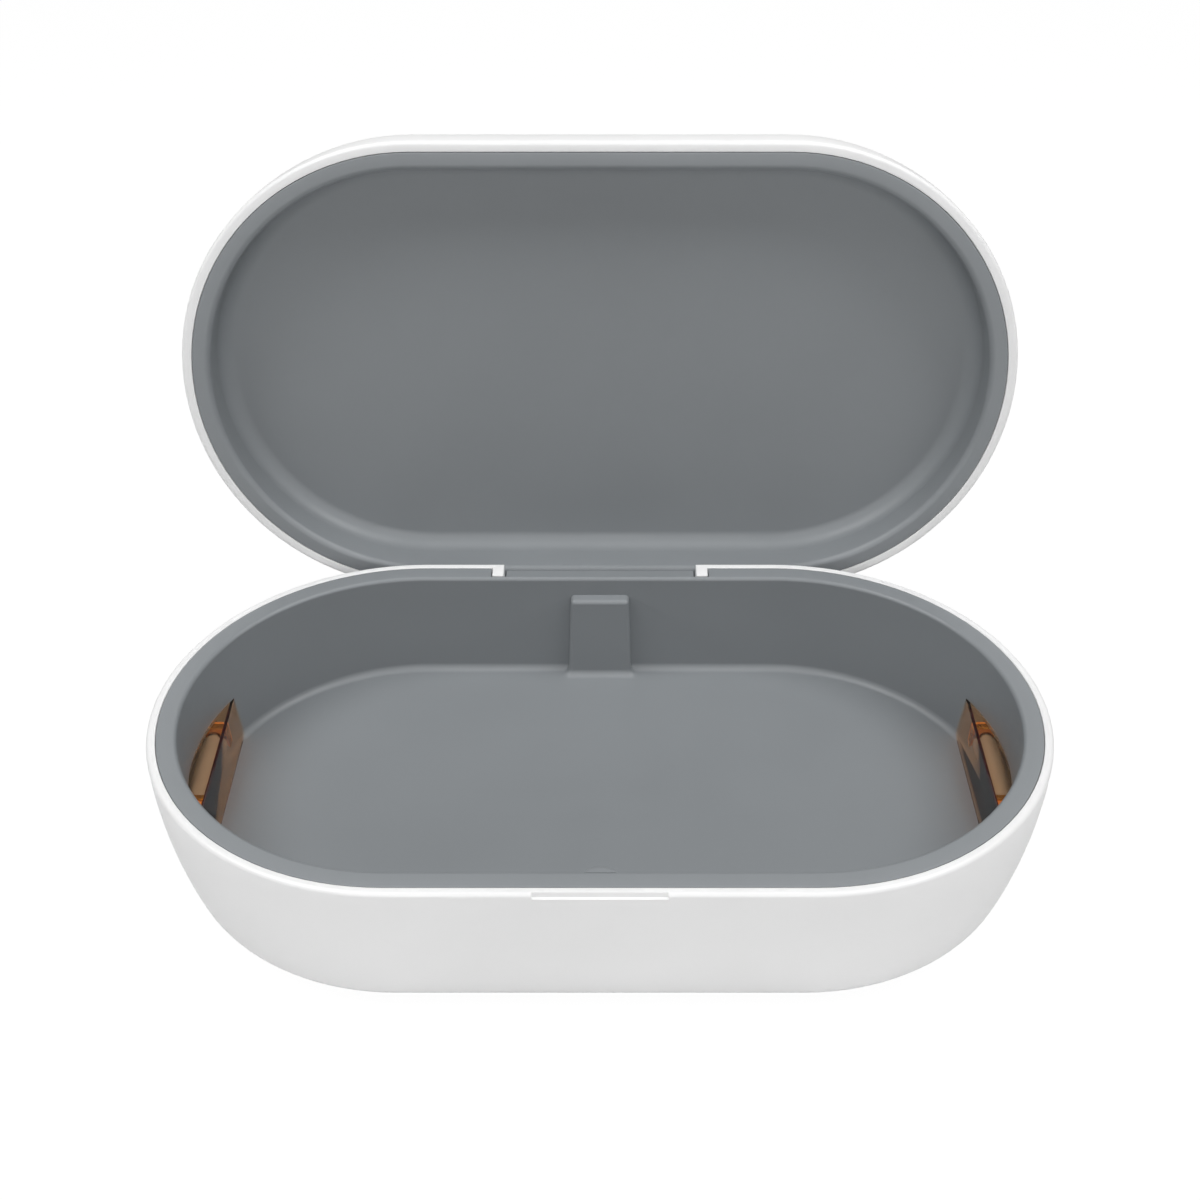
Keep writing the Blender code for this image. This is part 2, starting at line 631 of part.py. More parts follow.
def screw_profile(head_radius, head_height, radius, length):
    """A pan head above a plain shank, the underside of the head at height zero."""
    crown = head_height / 2
    profile = [(0, head_height), (head_radius - crown, head_height), (head_radius, head_height - crown)]
    return profile + [(head_radius, 0), (radius, 0), (radius, -length), (0, -length)]


def feet_and_screws():
    up, down = (0, 0, 0), (math.pi, 0, 0)
    edge = FOOT_RADIUS - FOOT_ROUND
    foot = [(0, FOOT_THICKNESS), (FOOT_RADIUS, FOOT_THICKNESS), (FOOT_RADIUS, FOOT_ROUND), (edge, 0), (0, 0)]
    screw = screw_profile(SCREW_HEAD_RADIUS, SCREW_HEAD_HEIGHT, SCREW_RADIUS, SCREW_LENGTH)
    for name, x, y in corners():
        turned(f"foot_{name}", foot, (x, y, 0), up, "rubber")
        turned(f"cover_screw_{name}", screw, (x, y, HEAD_TOP_Z), down, "steel")


def main_board():
    x = BOARD_WIDTH / 2
    board = box("main_board", (-x, BOARD_FRONT, BOARD_Z), (x, BOARD_BACK, BOARD_TOP_Z), "board")
    bm = bmesh.new()
    bm.from_mesh(board.data)
    upright = [e for e in bm.edges if abs(e.verts[0].co.z - e.verts[1].co.z) > BOARD_THICKNESS / 2]
    bmesh.ops.bevel(bm, geom=upright, offset=BOARD_CORNER, segments=3, profile=0.5, affect="EDGES")
    bm.to_mesh(board.data)
    bm.free()
    seat = BOARD_TOP_Z + SEAT_GAP
    screw = screw_profile(
        BOARD_SCREW_HEAD_RADIUS, BOARD_SCREW_HEAD_HEIGHT, BOARD_SCREW_RADIUS, BOARD_SCREW_LENGTH
    )
    for name, sign in sides():
        x, y = sign * BOARD_SCREW_X, BOARD_SCREW_Y
        low, high = (x, y, BOARD_Z - OVERRUN), (x, y, BOARD_TOP_Z + OVERRUN)
        hole = rod(f"board_hole_{name}", low, high, BOARD_SCREW_RADIUS + CLEARANCE)
        boolean(board, "DIFFERENCE", hole)
        turned(f"board_screw_{name}", screw, (x, y, seat), (0, 0, 0), "steel")


def usb_c_socket():
    """A rounded tube, closed at its back end, with the tongue inside."""
    mouth = base_face(socket_z()) - SOCKET_RECESS
    back = mouth - SOCKET_DEPTH
    z = socket_z()
    outer = slot_outline(SOCKET_X, z, SOCKET_WIDTH, SOCKET_HEIGHT)
    inner = slot_outline(SOCKET_X, z, SOCKET_WIDTH - 2 * SOCKET_WALL, SOCKET_HEIGHT - 2 * SOCKET_WALL)
    socket = prism("usb_c_socket", outer, back, mouth, along_y, "steel")
    hollow = prism("socket_hollow", inner, back + 2 * SOCKET_WALL, mouth + OVERRUN, along_y)
    half_width, half_height = TONGUE_WIDTH / 2, TONGUE_THICKNESS / 2
    tongue = box(
        "socket_tongue",
        (SOCKET_X - half_width, back + SOCKET_WALL, z - half_height),
        (SOCKET_X + half_width, back + TONGUE_LENGTH, z + half_height),
    )
    boolean(socket, "DIFFERENCE", hollow)
    boolean(socket, "UNION", tongue)


def base_face(z):
    """How far out the back of the base is at height z, on the rounded corner or on the wall."""
    points = base_wall(0, RIM_ROUND)
    for (r1, z1), (r2, z2) in zip(points, points[1:]):
        if z2 <= z <= z1:
            return r1 + (r2 - r1) * (z1 - z) / (z1 - z2)
    return RIM_RADIUS


def push_switch():
    back = BOARD_BACK - SEAT_GAP
    seat = BOARD_TOP_Z + SEAT_GAP
    half = SWITCH_WIDTH / 2
    low, high = (BUTTON_X - half, back - SWITCH_DEPTH, seat), (BUTTON_X + half, back, seat + SWITCH_HEIGHT)
    switch = box("power_switch", low, high, "dark_plastic")
    tip = back + PLUNGER_LENGTH
    start, end = (BUTTON_X, back - BITE, BUTTON_Z), (BUTTON_X, tip, BUTTON_Z)
    boolean(switch, "UNION", rod("switch_plunger", start, end, PLUNGER_RADIUS))
    return tip


def power_button(plunger_tip):
    """A rounded cap through the back wall, a flange that keeps it in and a stem to the switch."""
    face = base_face(BUTTON_Z) + BUTTON_PROUD
    shoulder = face - BUTTON_EDGE
    cap = slot_outline(BUTTON_X, BUTTON_Z, BUTTON_WIDTH, BUTTON_HEIGHT)
    crown = slot_outline(
        BUTTON_X, BUTTON_Z, BUTTON_WIDTH - 2 * BUTTON_EDGE, BUTTON_HEIGHT - 2 * BUTTON_EDGE
    )
    flange = slot_outline(
        BUTTON_X, BUTTON_Z, BUTTON_WIDTH + 2 * BUTTON_FLANGE, BUTTON_HEIGHT + 2 * BUTTON_FLANGE
    )
    flange_front = BUTTON_FLANGE_BACK - BUTTON_FLANGE_THICKNESS
    bm = bmesh.new()
    rings = []
    for outline, y in ((cap, BUTTON_FLANGE_BACK - BITE), (cap, shoulder), (crown, face)):
        rings.append([bm.verts.new((x, y, z)) for x, z in outline])
    for low, high in zip(rings, rings[1:]):
        for i in range(len(low)):
            j = (i + 1) % len(low)
            bm.faces.new((low[i], low[j], high[j], high[i]))
    bm.faces.new(rings[0])
    bm.faces.new(rings[-1])
    button = add_object("power_button", bm, "grey_liner")
    keeper = prism("button_flange", flange, flange_front, BUTTON_FLANGE_BACK, along_y)
    stem_tip = plunger_tip + BUTTON_REST_GAP
    stem = rod(
        "button_stem",
        (BUTTON_X, stem_tip, BUTTON_Z),
        (BUTTON_X, flange_front + BITE, BUTTON_Z),
        STEM_RADIUS,
    )
    boolean(button, "UNION", keeper, stem)


def board_parts():
    seat = BOARD_TOP_Z + SEAT_GAP
    x, y = TRANSFORMER_WIDTH / 2, TRANSFORMER_DEPTH / 2
    box(
        "lamp_transformer",
        (TRANSFORMER_X - x, TRANSFORMER_Y - y, seat),
        (TRANSFORMER_X + x, TRANSFORMER_Y + y, seat + TRANSFORMER_HEIGHT),
        "dark_plastic",
        bevel=TRANSFORMER_BEVEL,
    )
    half, crimp = CAPACITOR_LENGTH / 2, CAPACITOR_CRIMP
    can = [(0, half), (CAPACITOR_RADIUS - crimp, half), (CAPACITOR_RADIUS, half - crimp)]
    can += [(CAPACITOR_RADIUS, -half), (0, -half)]
    place = (CAPACITOR_X, CAPACITOR_Y, seat + CAPACITOR_RADIUS)
    turned("smoothing_capacitor", can, place, (0, math.pi / 2, 0), "steel")


def leaning_end(name, near, far, top, sign):
    """All that lies outside the cover's leaning face, up to a top; near is where the face meets the floor."""
    low = FLOOR_Z - OVERRUN
    foot = near + sign * LAMP_COVER_SLOPE * (low - FLOOR_Z)
    head = near + sign * LAMP_COVER_SLOPE * (top - FLOOR_Z)
    outline = [(foot, low), (far, low), (far, top), (head, top)]
    return prism(name, outline, -RIM_RADIUS, RIM_RADIUS, along_y)


def lamp_cover(name, sign):
    """The end of the cavity behind a face that leans outwards, hollowed from behind and below."""
    top = FLOOR_Z + LAMP_COVER_HEIGHT
    outline = [(0, FLOOR_Z + CLEARANCE), *cavity_wall(CLEARANCE)]
    wall = CAVITY_RADIUS - CAVITY_DRAFT - CLEARANCE
    outline += [(wall, top + OVERRUN), (0, top + OVERRUN)]
    cover = obround(f"{name}_lamp_cover", outline, "amber_clear")
    far = sign * (STRAIGHT_HALF + RIM_RADIUS)
    segment = leaning_end(f"{name}_cover_end", sign * LAMP_COVER_X, far, top, sign)
    inside = sign * (LAMP_COVER_X + LAMP_COVER_WALL)
    hollow = leaning_end(f"{name}_cover_hollow", inside, far, top - LAMP_COVER_WALL, sign)
    boolean(cover, "INTERSECT", segment)
    boolean(cover, "DIFFERENCE", hollow)


def lamp(name, sign):
    """A tube with narrow stubs, each in the blind hole of a holder that stands on the window's sill."""
    half = LAMP_HALF_LENGTH
    end = half + LAMP_STUB_LENGTH
    stub_corner = half - LAMP_DOME
    upper = [(0, end), (LAMP_STUB_RADIUS, end), (LAMP_STUB_RADIUS, half), (LAMP_RADIUS, stub_corner)]
    tube = upper + [(r, -z) for r, z in reversed(upper)]
    place = (sign * LAMP_X, LAMP_Y, LAMP_Z)
    turned(f"{name}_lamp_tube", tube, place, (math.pi / 2, 0, 0), "lamp_glass")
    x, z = HOLDER_WIDTH / 2, HOLDER_HEIGHT / 2
    for end_name, way in (("front", -1), ("back", 1)):
        near = LAMP_Y + way * (half + CLEARANCE)
        far = near + way * HOLDER_THICKNESS
        holder = box(
            f"{name}_lamp_holder_{end_name}",
            (place[0] - x, min(near, far), LAMP_Z - z),
            (place[0] + x, max(near, far), LAMP_Z + z),
            "holder",
            bevel=HOLDER_BEVEL,
        )
        start = (place[0], near - way * OVERRUN, LAMP_Z)
        stop = (place[0], LAMP_Y + way * (end + CLEARANCE), LAMP_Z)
        hole = rod(f"{name}_holder_hole_{end_name}", start, stop, LAMP_STUB_RADIUS + CLEARANCE)
        boolean(holder, "DIFFERENCE", hole)


def lid_sensor():
    """A small moulded switch with three leads, standing in the hollow behind the bump."""
    face = BUMP_PROUD - CAVITY_RADIUS - BUMP_WALL - SEAT_GAP
    back, top = face - SENSOR_DEPTH, RIM_Z - SENSOR_DROP
    foot, half = top - SENSOR_HEIGHT, SENSOR_WIDTH / 2
    sensor = box("lid_sensor", (-half, back, foot), (half, face, top), "dark_plastic")
    y, lead = (face + back) / 2, LEAD_WIDTH / 2
    for index in (-1, 0, 1):
        x = index * LEAD_PITCH
        low, high = (x - lead, y - lead, foot - LEAD_LENGTH), (x + lead, y + lead, foot + BITE)
        boolean(sensor, "UNION", box(f"sensor_lead_{index + 1}", low, high))


def lid_shell(hinge):
    inner_foot = LID_Z + FLANGE_THICKNESS + CLEARANCE
    ledge_top = inner_foot + LEDGE_HEIGHT
    rim_edge = arc((RIM_RADIUS - RIM_ROUND, LID_Z + RIM_ROUND), RIM_ROUND, -90, 0, EDGE_STEPS)
    inner = lid_wall(SHELL_WALL, ledge_top - LID_Z + LEDGE_TAPER)
    ceiling = LID_Z + LID_HEIGHT - LID_TOP_THICKNESS
    profile = [(0, LID_Z + LID_HEIGHT), *reversed(lid_wall(0, RIM_ROUND)[1:]), *reversed(rim_edge)]
    profile += [(SEAM_OUTER, LID_Z), (SEAM_OUTER, inner_foot), (LEDGE_RADIUS, inner_foot)]
    profile += [(LEDGE_RADIUS, ledge_top), *inner[:-1], (inner[-1][0], ceiling), (0, ceiling)]
    obround("lid_shell", profile, "white_shell", hinge)


def lid_liner(hinge):
    """The dish with its flat rim, and the knuckle that hangs from the rim into the base's slot."""
    edge_centre = (DISH_RADIUS + DISH_EDGE_ROUND, LID_Z + DISH_EDGE_ROUND)
    edge = arc(edge_centre, DISH_EDGE_ROUND, -90, -180, EDGE_STEPS)
    dish_z = LID_Z + DISH_DEPTH
    centre = (DISH_RADIUS - DISH_FILLET, dish_z - DISH_FILLET)
    inside = arc(centre, DISH_FILLET, 0, 90, CORNER_STEPS)
    outside = arc(centre, DISH_FILLET + LINER_WALL, 90, 0, CORNER_STEPS)
    flange_z = LID_Z + FLANGE_THICKNESS
    profile = [(0, dish_z + LINER_WALL), *outside, (DISH_RADIUS + LINER_WALL, flange_z)]
    profile += [(SEAM_INNER, flange_z), (SEAM_INNER, LID_Z), *edge, *inside, (0, dish_z)]
    liner = obround("lid_liner", profile, "grey_liner", hinge)
    half = SLOT_HALF - CLEARANCE
    radius, rear = KNUCKLE_FRONT_REACH, HINGE_BACK + KNUCKLE_BACK_REACH
    root = LID_Z + KNUCKLE_HANG
    pad_top = LID_Z - CLEARANCE
    step = SEAM_INNER - CLEARANCE
    outline = [(CHEEK_FRONT_Y, root), *arc((HINGE_BACK, HINGE_Z), radius, 180, 270, CORNER_STEPS)]
    outline += arc((rear - radius, HINGE_Z), radius, 270, 360, CORNER_STEPS)
    outline += [(rear, pad_top), (step, pad_top), (step, root)]
    knuckle = prism("hinge_knuckle", outline, -half, half, along_x, parent=hinge)
    reach = half + OVERRUN
    start, end = (-reach, HINGE_BACK, HINGE_Z), (reach, HINGE_BACK, HINGE_Z)
    bore = rod("knuckle_bore", start, end, BORE_RADIUS, parent=hinge)
    boolean(liner, "UNION", knuckle)
    boolean(liner, "DIFFERENCE", bore)


def lid_magnet(hinge):
    """A bar magnet on the lid's flat rim, above the lid sensor when the lid is down."""
    front = -DISH_RADIUS - LINER_WALL - SEAT_GAP
    foot = LID_Z + FLANGE_THICKNESS + SEAT_GAP
    half = MAGNET_WIDTH / 2
    low, high = (-half, front - MAGNET_DEPTH, foot), (half, front, foot + MAGNET_HEIGHT)
    box("lid_magnet", low, high, "steel", hinge)


def open_lid():
    """An empty on the hinge axis. What is parented to it is modelled shut and stands open."""
    hinge = bpy.data.objects.new("lid_hinge", None)
    bpy.data.collections["uv_phone_sanitizer"].objects.link(hinge)
    axis = Matrix.Translation((0, HINGE_BACK, HINGE_Z))
    turn = Matrix.Rotation(-OPEN_ANGLE, 4, "X")
    hinge.matrix_world = axis @ turn
    lid_shell(hinge)
    lid_liner(hinge)
    lid_magnet(hinge)
    for obj in hinge.children:
        obj.matrix_parent_inverse = axis.inverted()


def main():
    clear_scene()
    base_shell()
    base_liner()
    bottom_cover()
    feet_and_screws()
    main_board()
    usb_c_socket()
    power_button(push_switch())
    board_parts()
    for name, sign in sides():
        lamp_cover(name, sign)
        lamp(name, sign)
    lid_sensor()
    reach = CHEEK_OUTER_X - CLEARANCE
    rod("hinge_pin", (-reach, HINGE_BACK, HINGE_Z), (reach, HINGE_BACK, HINGE_Z), PIN_RADIUS, "steel")
    open_lid()


main()
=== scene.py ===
"""A UV sanitizer box for phones, standing open on a white studio floor."""

import math
from itertools import pairwise

import bmesh
import bpy
from bpy.props import FloatProperty, FloatVectorProperty, PointerProperty
from mathutils import Matrix, Vector


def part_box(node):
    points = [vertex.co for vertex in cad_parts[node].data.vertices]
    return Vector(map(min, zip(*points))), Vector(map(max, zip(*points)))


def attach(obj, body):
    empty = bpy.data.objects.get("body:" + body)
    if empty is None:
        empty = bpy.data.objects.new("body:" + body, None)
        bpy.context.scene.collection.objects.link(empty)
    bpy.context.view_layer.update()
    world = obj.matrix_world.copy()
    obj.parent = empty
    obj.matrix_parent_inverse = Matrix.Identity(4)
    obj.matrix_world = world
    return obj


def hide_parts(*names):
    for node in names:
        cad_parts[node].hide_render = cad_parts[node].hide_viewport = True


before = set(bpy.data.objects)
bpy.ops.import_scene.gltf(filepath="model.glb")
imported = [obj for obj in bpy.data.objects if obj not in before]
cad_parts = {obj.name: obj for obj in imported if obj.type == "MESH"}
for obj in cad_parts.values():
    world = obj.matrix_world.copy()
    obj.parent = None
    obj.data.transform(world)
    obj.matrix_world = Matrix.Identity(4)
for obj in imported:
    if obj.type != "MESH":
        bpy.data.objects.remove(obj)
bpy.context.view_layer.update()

bl_info = {
    "name": "UV Sanitizer Box",
    "version": (1, 0, 0),
    "blender": (4, 5, 0),
    "location": "View3D > Sidebar > UV Box",
    "description": "Builds an obround UV sanitizer box for phones, piece by piece",
    "category": "Add Mesh",
}

MM = 0.001
RIM_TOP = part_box("base_shell")[1][2]
SIDES = (("left", -1), ("right", 1))
ENDS = (("front", -1), ("back", 1))

PLAY = 0.3 * MM  # around a piece that sits in an opening
PIN_PLAY = 0.08 * MM  # around the hinge pin, in its bores
OVERSHOOT = 2 * MM  # how far a cutter reaches past what it cuts
MERGE = MM / 500  # vertices closer than this are one


def linear(hex_code):
    """A colour written as sRGB hex, as the linear values that Blender's shaders take."""
    channels = [int(hex_code[i : i + 2], 16) / 255 for i in (1, 3, 5)]
    return tuple(c / 12.92 if c <= 0.04045 else ((c + 0.055) / 1.055) ** 2.4 for c in channels)


def size(name, description, mm):
    return FloatProperty(name=name, description=description, default=mm * MM, unit="LENGTH", precision=5)


def angle(name, description, degrees):
    return FloatProperty(name=name, description=description, default=math.radians(degrees), subtype="ANGLE")


def colour(name, description, hex_code):
    shade = linear(hex_code)
    return FloatVectorProperty(name=name, description=description, default=shade, subtype="COLOR", min=0, max=1)


class UvBoxPlan(bpy.types.PropertyGroup):
    straight_half: size("Straight half", "Half the straight run between the round ends", 45.6)
    rim_radius: size("Rim radius", "Outer radius of the round ends at the rim", 60.6)
    seam_radius: size("Seam radius", "Where the base's white shell meets its grey liner", 58.4)
    seam_gap: size("Seam gap", "Fine line between a shell and its liner", 0.12)
    shell_wall: size("Shell wall", "Thickness of the white shells", 2.2)
    liner_wall: size("Liner wall", "Thickness of the grey liners", 1.6)
    rim_round: size("Rim round", "Rounding of the shells' outer rim edges", 1.0)
    edge_round: size("Edge round", "Small rounding that moulded edges have", 0.2)


class UvBoxBase(bpy.types.PropertyGroup):
    foot_proud: size("Foot proud", "How far the feet hold the base off the table", 1.0)
    height: size("Height", "From the underside to the rim", 40.0)
    lean: size("Lean", "How far the wall leans in towards its foot", 6.5)
    bulge: size("Bulge", "How far the wall bows out between its ends", 1.65)
    corner: size("Corner", "Radius between wall and underside", 7.5)
    notch_width: size("Notch width", "Length of the finger notch in the front rim", 28.5)
    notch_depth: size("Notch depth", "How far the notch goes in", 0.75)
    notch_height: size("Notch height", "How far the notch goes down", 1.4)
    cover_radius: size("Cover radius", "End radius of the bottom cover", 45.5)
    cover_thickness: size("Cover thickness", "Thickness of the bottom cover", 1.6)
    foot_x: size("Foot place X", "From the middle to a foot, along the box", 52.0)
    foot_y: size("Foot place Y", "From the middle to a foot, across the box", 36.0)
    foot_radius: size("Foot radius", "Radius of a foot pad", 5.0)
    recess_depth: size("Recess depth", "How deep a foot sits in the cover", 0.9)
    tower_radius: size("Tower radius", "Radius of the cover's screw towers", 6.4)
    tower_height: size("Tower height", "Height of the towers above the cover", 2.4)
    head_radius: size("Head radius", "Radius of the hole for a screw's head", 2.5)
    head_depth: size("Head depth", "Depth of the hole for a screw's head", 2.4)
    shank_radius: size("Shank radius", "Radius of the hole for a screw's shank", 1.5)


class UvBoxCavity(bpy.types.PropertyGroup):
    radius: size("Radius", "End radius of the cavity at its rim", 53.6)
    draft: size("Draft", "How much narrower the cavity is at its floor", 0.3)
    depth: size("Depth", "From the rim to the floor", 29.8)
    edge_round: size("Edge round", "Rounding of the cavity's mouth", 1.0)
    fillet: size("Floor fillet", "Radius between floor and wall", 2.0)
    floor_thickness: size("Floor thickness", "Thickness of the cavity's floor", 1.8)
    flange: size("Flange", "Thickness of the liner's rim", 2.0)
    post_width: size("Post width", "Width of the post on the back wall", 15.4)
    post_flare: size("Post flare", "How much wider the post is at its foot", 1.4)
    post_proud: size("Post proud", "How far the post stands out", 3.1)
    post_height: size("Post height", "Height of the post above the floor", 24.5)
    post_round: size("Post round", "Rounding of the post's edges", 1.1)
    under_corner: size("Under corner", "Radius of the liner's corner underneath", 4.6)
    bump_width: size("Bump width", "Width of the bump in the front wall", 7.7)
    bump_proud: size("Bump proud", "How far the bump stands out", 1.75)
    bump_height: size("Bump height", "Length of the bump, down from the rim", 13.0)


class UvBoxLid(bpy.types.PropertyGroup):
    gap: size("Gap", "Between lid and base when shut", 0.5)
    height: size("Height", "Of the lid's shell", 17.5)
    lean: size("Lean", "How far the lid's wall leans in towards its top", 2.5)
    bulge: size("Bulge", "How far the lid's wall bows out", 0.6)
    corner: size("Corner", "Radius between the lid's wall and top", 8.0)
    seam_radius: size("Seam radius", "Where the lid's white shell meets its grey liner", 58.0)
    dish_radius: size("Dish radius", "End radius of the lid's dish", 53.5)
    dish_depth: size("Dish depth", "Depth of the lid's dish", 13.0)
    dish_fillet: size("Dish fillet", "Radius at the bottom of the dish", 4.5)
    dish_edge: size("Dish edge", "Rounding of the dish's mouth", 1.6)


class UvBoxHinge(bpy.types.PropertyGroup):
    back: size("Back", "From the middle to the hinge axis", 57.3)
    drop: size("Drop", "From the rim down to the hinge axis", 7.5)
    open_angle: angle("Open angle", "How far the lid opens", 96.9)
    slot_half: size("Slot half", "Half the width of the slot in the base", 25.45)
    cheek: size("Cheek", "Thickness of the cheeks beside the slot", 2.9)
    slot_front: size("Slot front", "From the cavity's edge to the white cheeks", 1.15)
    gap: size("Gap", "Around the knuckle", 0.3)
    reach: size("Reach", "From the axis to the back of the knuckle", 3.0)
    pin_radius: size("Pin radius", "Radius of the steel pin", 1.0)
    room_front: size("Room front", "From the cavity's edge to the liner's cut for the hinge", 0.85)


class UvBoxLamp(bpy.types.PropertyGroup):
    cover_face: size("Cover face", "From the middle to the foot of the cover's straight face", 92.1)
    cover_lean: size("Cover lean", "How far the cover's face leans outwards", 0.9)
    cover_height: size("Cover height", "From the floor to the cover's top", 13.3)
    cover_wall: size("Cover wall", "Thickness of the amber plastic", 0.8)
    window_inset: size("Window inset", "From the cover's face back to the liner's window", 1.9)
    shift: size("Shift", "How far behind the middle the lamps sit", 2.0)
    axis_x: size("Axis X", "From the middle to a lamp's axis", 96.24)
    axis_height: size("Axis height", "From the floor to a lamp's axis", 7.9)
    radius: size("Radius", "Radius of the quartz tube", 2.4)
    half_length: size("Half length", "Half the length of the quartz tube", 12.0)
    holder_width: size("Holder width", "Width of a lamp holder", 4.2)
    holder_height: size("Holder height", "Height of a lamp holder", 6.0)
    holder_thickness: size("Holder thickness", "Thickness of a lamp holder", 2.8)


class UvBoxBack(bpy.types.PropertyGroup):
    socket_x: size("Socket X", "From the middle to the USB-C socket", -14.0)
    socket_width: size("Socket width", "Outer width of the socket's shell", 8.94)
    socket_height: size("Socket height", "Outer height of the socket's shell", 3.2)
    button_x: size("Button X", "From the middle to the power button", 14.0)
    button_width: size("Button width", "Width of the power button", 10.0)
    button_height: size("Button height", "Height of the power button", 3.6)


class UvBoxColours(bpy.types.PropertyGroup):
    shell: colour("Shell", "White ABS of the outer shells", "#F0F0F0")
    liner: colour("Liner", "Grey ABS of the liners", "#84888B")
    amber: colour("Amber", "Depth tint of the lamp covers' clear plastic", "#F2CC86")
    rubber: colour("Rubber", "Dark rubber of the feet", "#38393A")
    board: colour("Board", "Green solder mask", "#1E5B3A")


def settings(name):
    return getattr(bpy.context.scene, f"uv_box_{name}")


def adjust(obj, **values):
    """Gives an object, modifier, lamp or node its values."""
    for name, value in values.items():
        setattr(obj, name, value)
    return obj


def only(obj):
    """Object mode, with nothing selected but this."""
    if bpy.context.object and bpy.context.object.mode != "OBJECT":
        bpy.ops.object.mode_set(mode="OBJECT")
    bpy.ops.object.select_all(action="DESELECT")
    obj.select_set(True)
    bpy.context.view_layer.objects.active = obj
    return obj


def arc(centre, radius, start, end, steps):
    """Points (across, up) from one angle in degrees to another."""
    angles = [math.radians(start + (end - start) * i / steps) for i in range(steps + 1)]
    return [(centre[0] + radius * math.cos(a), centre[1] + radius * math.sin(a)) for a in angles]


def rounded(corners, steps=6):
    """A chain of (across, up) or (across, up, radius) corners, each radius made a fillet."""
    points = []
    for i, corner in enumerate(corners):
        here = Vector(corner[:2])
        if len(corner) == 2:
            points.append(tuple(here))
            continue
        before = (Vector(corners[i - 1][:2]) - here).normalized()
        after = (Vector(corners[(i + 1) % len(corners)][:2]) - here).normalized()
        half = before.angle(after) / 2
        centre = here + (before + after).normalized() * (corner[2] / math.sin(half))
        reach = corner[2] / math.tan(half)
        first, last = here + before * reach - centre, here + after * reach - centre
        start = math.degrees(math.atan2(first.y, first.x))
        sweep = (math.degrees(math.atan2(last.y, last.x)) - start + 180) % 360 - 180
        points += arc(tuple(centre), corner[2], start, start + sweep, steps)
    return points


def bowed_wall(height, lean, bulge, corner, inset, top):
    """A bowed wall and its rounded corner below a rim at zero, from `top` down, moved in by inset."""
    rim = settings("plan").rim_radius
    chord = math.hypot(lean, height)
    radius = chord**2 / (8 * bulge) + bulge / 2
    bow_x = rim - lean / 2 - height / chord * (radius - bulge)
    bow_z = -height / 2 + lean / chord * (radius - bulge)
    corner_z = corner - height
    corner_x = bow_x + math.sqrt((radius - corner) ** 2 - (corner_z - bow_z) ** 2)
    meet = math.degrees(math.atan2(corner_z - bow_z, corner_x - bow_x))
    start = math.degrees(math.asin((-top - bow_z) / (radius - inset)))
    wall = arc((bow_x, bow_z), radius - inset, start, meet, 16)
    return wall + arc((corner_x, corner_z), corner - inset, meet, -90, 10)[1:]


def trace(name, points, closed=True):
    """A chain of edges in the plane y = 0, one vertex extruded from point to point. It stays in edit mode."""
    bpy.ops.object.select_all(action="DESELECT")
    bpy.ops.mesh.primitive_plane_add(size=MM)
    obj = bpy.context.object
    obj.name = name
    bpy.ops.object.mode_set(mode="EDIT")
    bpy.ops.mesh.select_mode(type="VERT")
    bpy.ops.mesh.select_all(action="SELECT")
    bpy.ops.mesh.merge(type="CENTER")
    bpy.ops.transform.translate(value=(points[0][0], 0, points[0][1]))
    route = points + points[:1] if closed else points
    for (x, z), (next_x, next_z) in pairwise(route):
        bpy.ops.mesh.extrude_vertices_move(TRANSFORM_OT_translate={"value": (next_x - x, 0, next_z - z)})
    bpy.ops.mesh.select_all(action="SELECT")
    bpy.ops.mesh.remove_doubles(threshold=MERGE)
    bpy.ops.mesh.select_all(action="SELECT")
    return obj


def tidy_faces():
    """In edit mode: doubles merged and every face turned outwards."""
    bpy.ops.mesh.select_all(action="SELECT")
    bpy.ops.mesh.remove_doubles(threshold=MERGE)
    bpy.ops.mesh.select_all(action="SELECT")
    bpy.ops.mesh.normals_make_consistent(inside=False)
    bpy.ops.object.mode_set(mode="OBJECT")


def sweep_obround(name, profile, closed=True):
    """A profile of (distance from the spine, height): spun a quarter turn, run straight, and mirrored both ways."""
    straight = settings("plan").straight_half
    obj = trace(name, [(straight + r, z) for r, z in profile], closed)
    bpy.ops.mesh.spin(steps=28, angle=math.pi / 2, center=(straight, 0, 0), axis=(0, 0, 1))
    bpy.ops.mesh.extrude_edges_move(TRANSFORM_OT_translate={"value": (-straight, 0, 0)})
    tidy_faces()
    bpy.ops.object.modifier_add(type="MIRROR")
    mirror = adjust(obj.modifiers[-1], use_axis=(True, True, False), merge_threshold=MERGE)
    bpy.ops.object.modifier_apply(modifier=mirror.name)
    bpy.ops.object.mode_set(mode="EDIT")
    tidy_faces()
    return obj


def turn(name, profile, place, tilt=(0, 0, 0), closed=False, steps=40):
    """A (radius, height) profile turned about an axis that tilt leans over from +Z."""
    obj = trace(name, profile, closed)
    bpy.ops.mesh.spin(steps=steps, angle=2 * math.pi, center=(0, 0, 0), axis=(0, 0, 1))
    tidy_faces()
    adjust(obj, rotation_euler=tilt, location=place)
    bpy.ops.object.transform_apply()
    return obj


def block(name, corner, opposite, round_by=0, segments=4):
    """A box between two opposite corners, its edges rounded."""
    low, high = (Vector(map(end, corner, opposite)) for end in (min, max))
    bpy.ops.object.select_all(action="DESELECT")
    bpy.ops.mesh.primitive_cube_add(size=1, location=(low + high) / 2)
    obj = adjust(bpy.context.object, name=name, scale=high - low)
    bpy.ops.object.transform_apply()
    if round_by:
        bpy.ops.object.mode_set(mode="EDIT")
        bpy.ops.mesh.select_all(action="SELECT")
        bevel(round_by, segments)
        tidy_faces()
    return obj


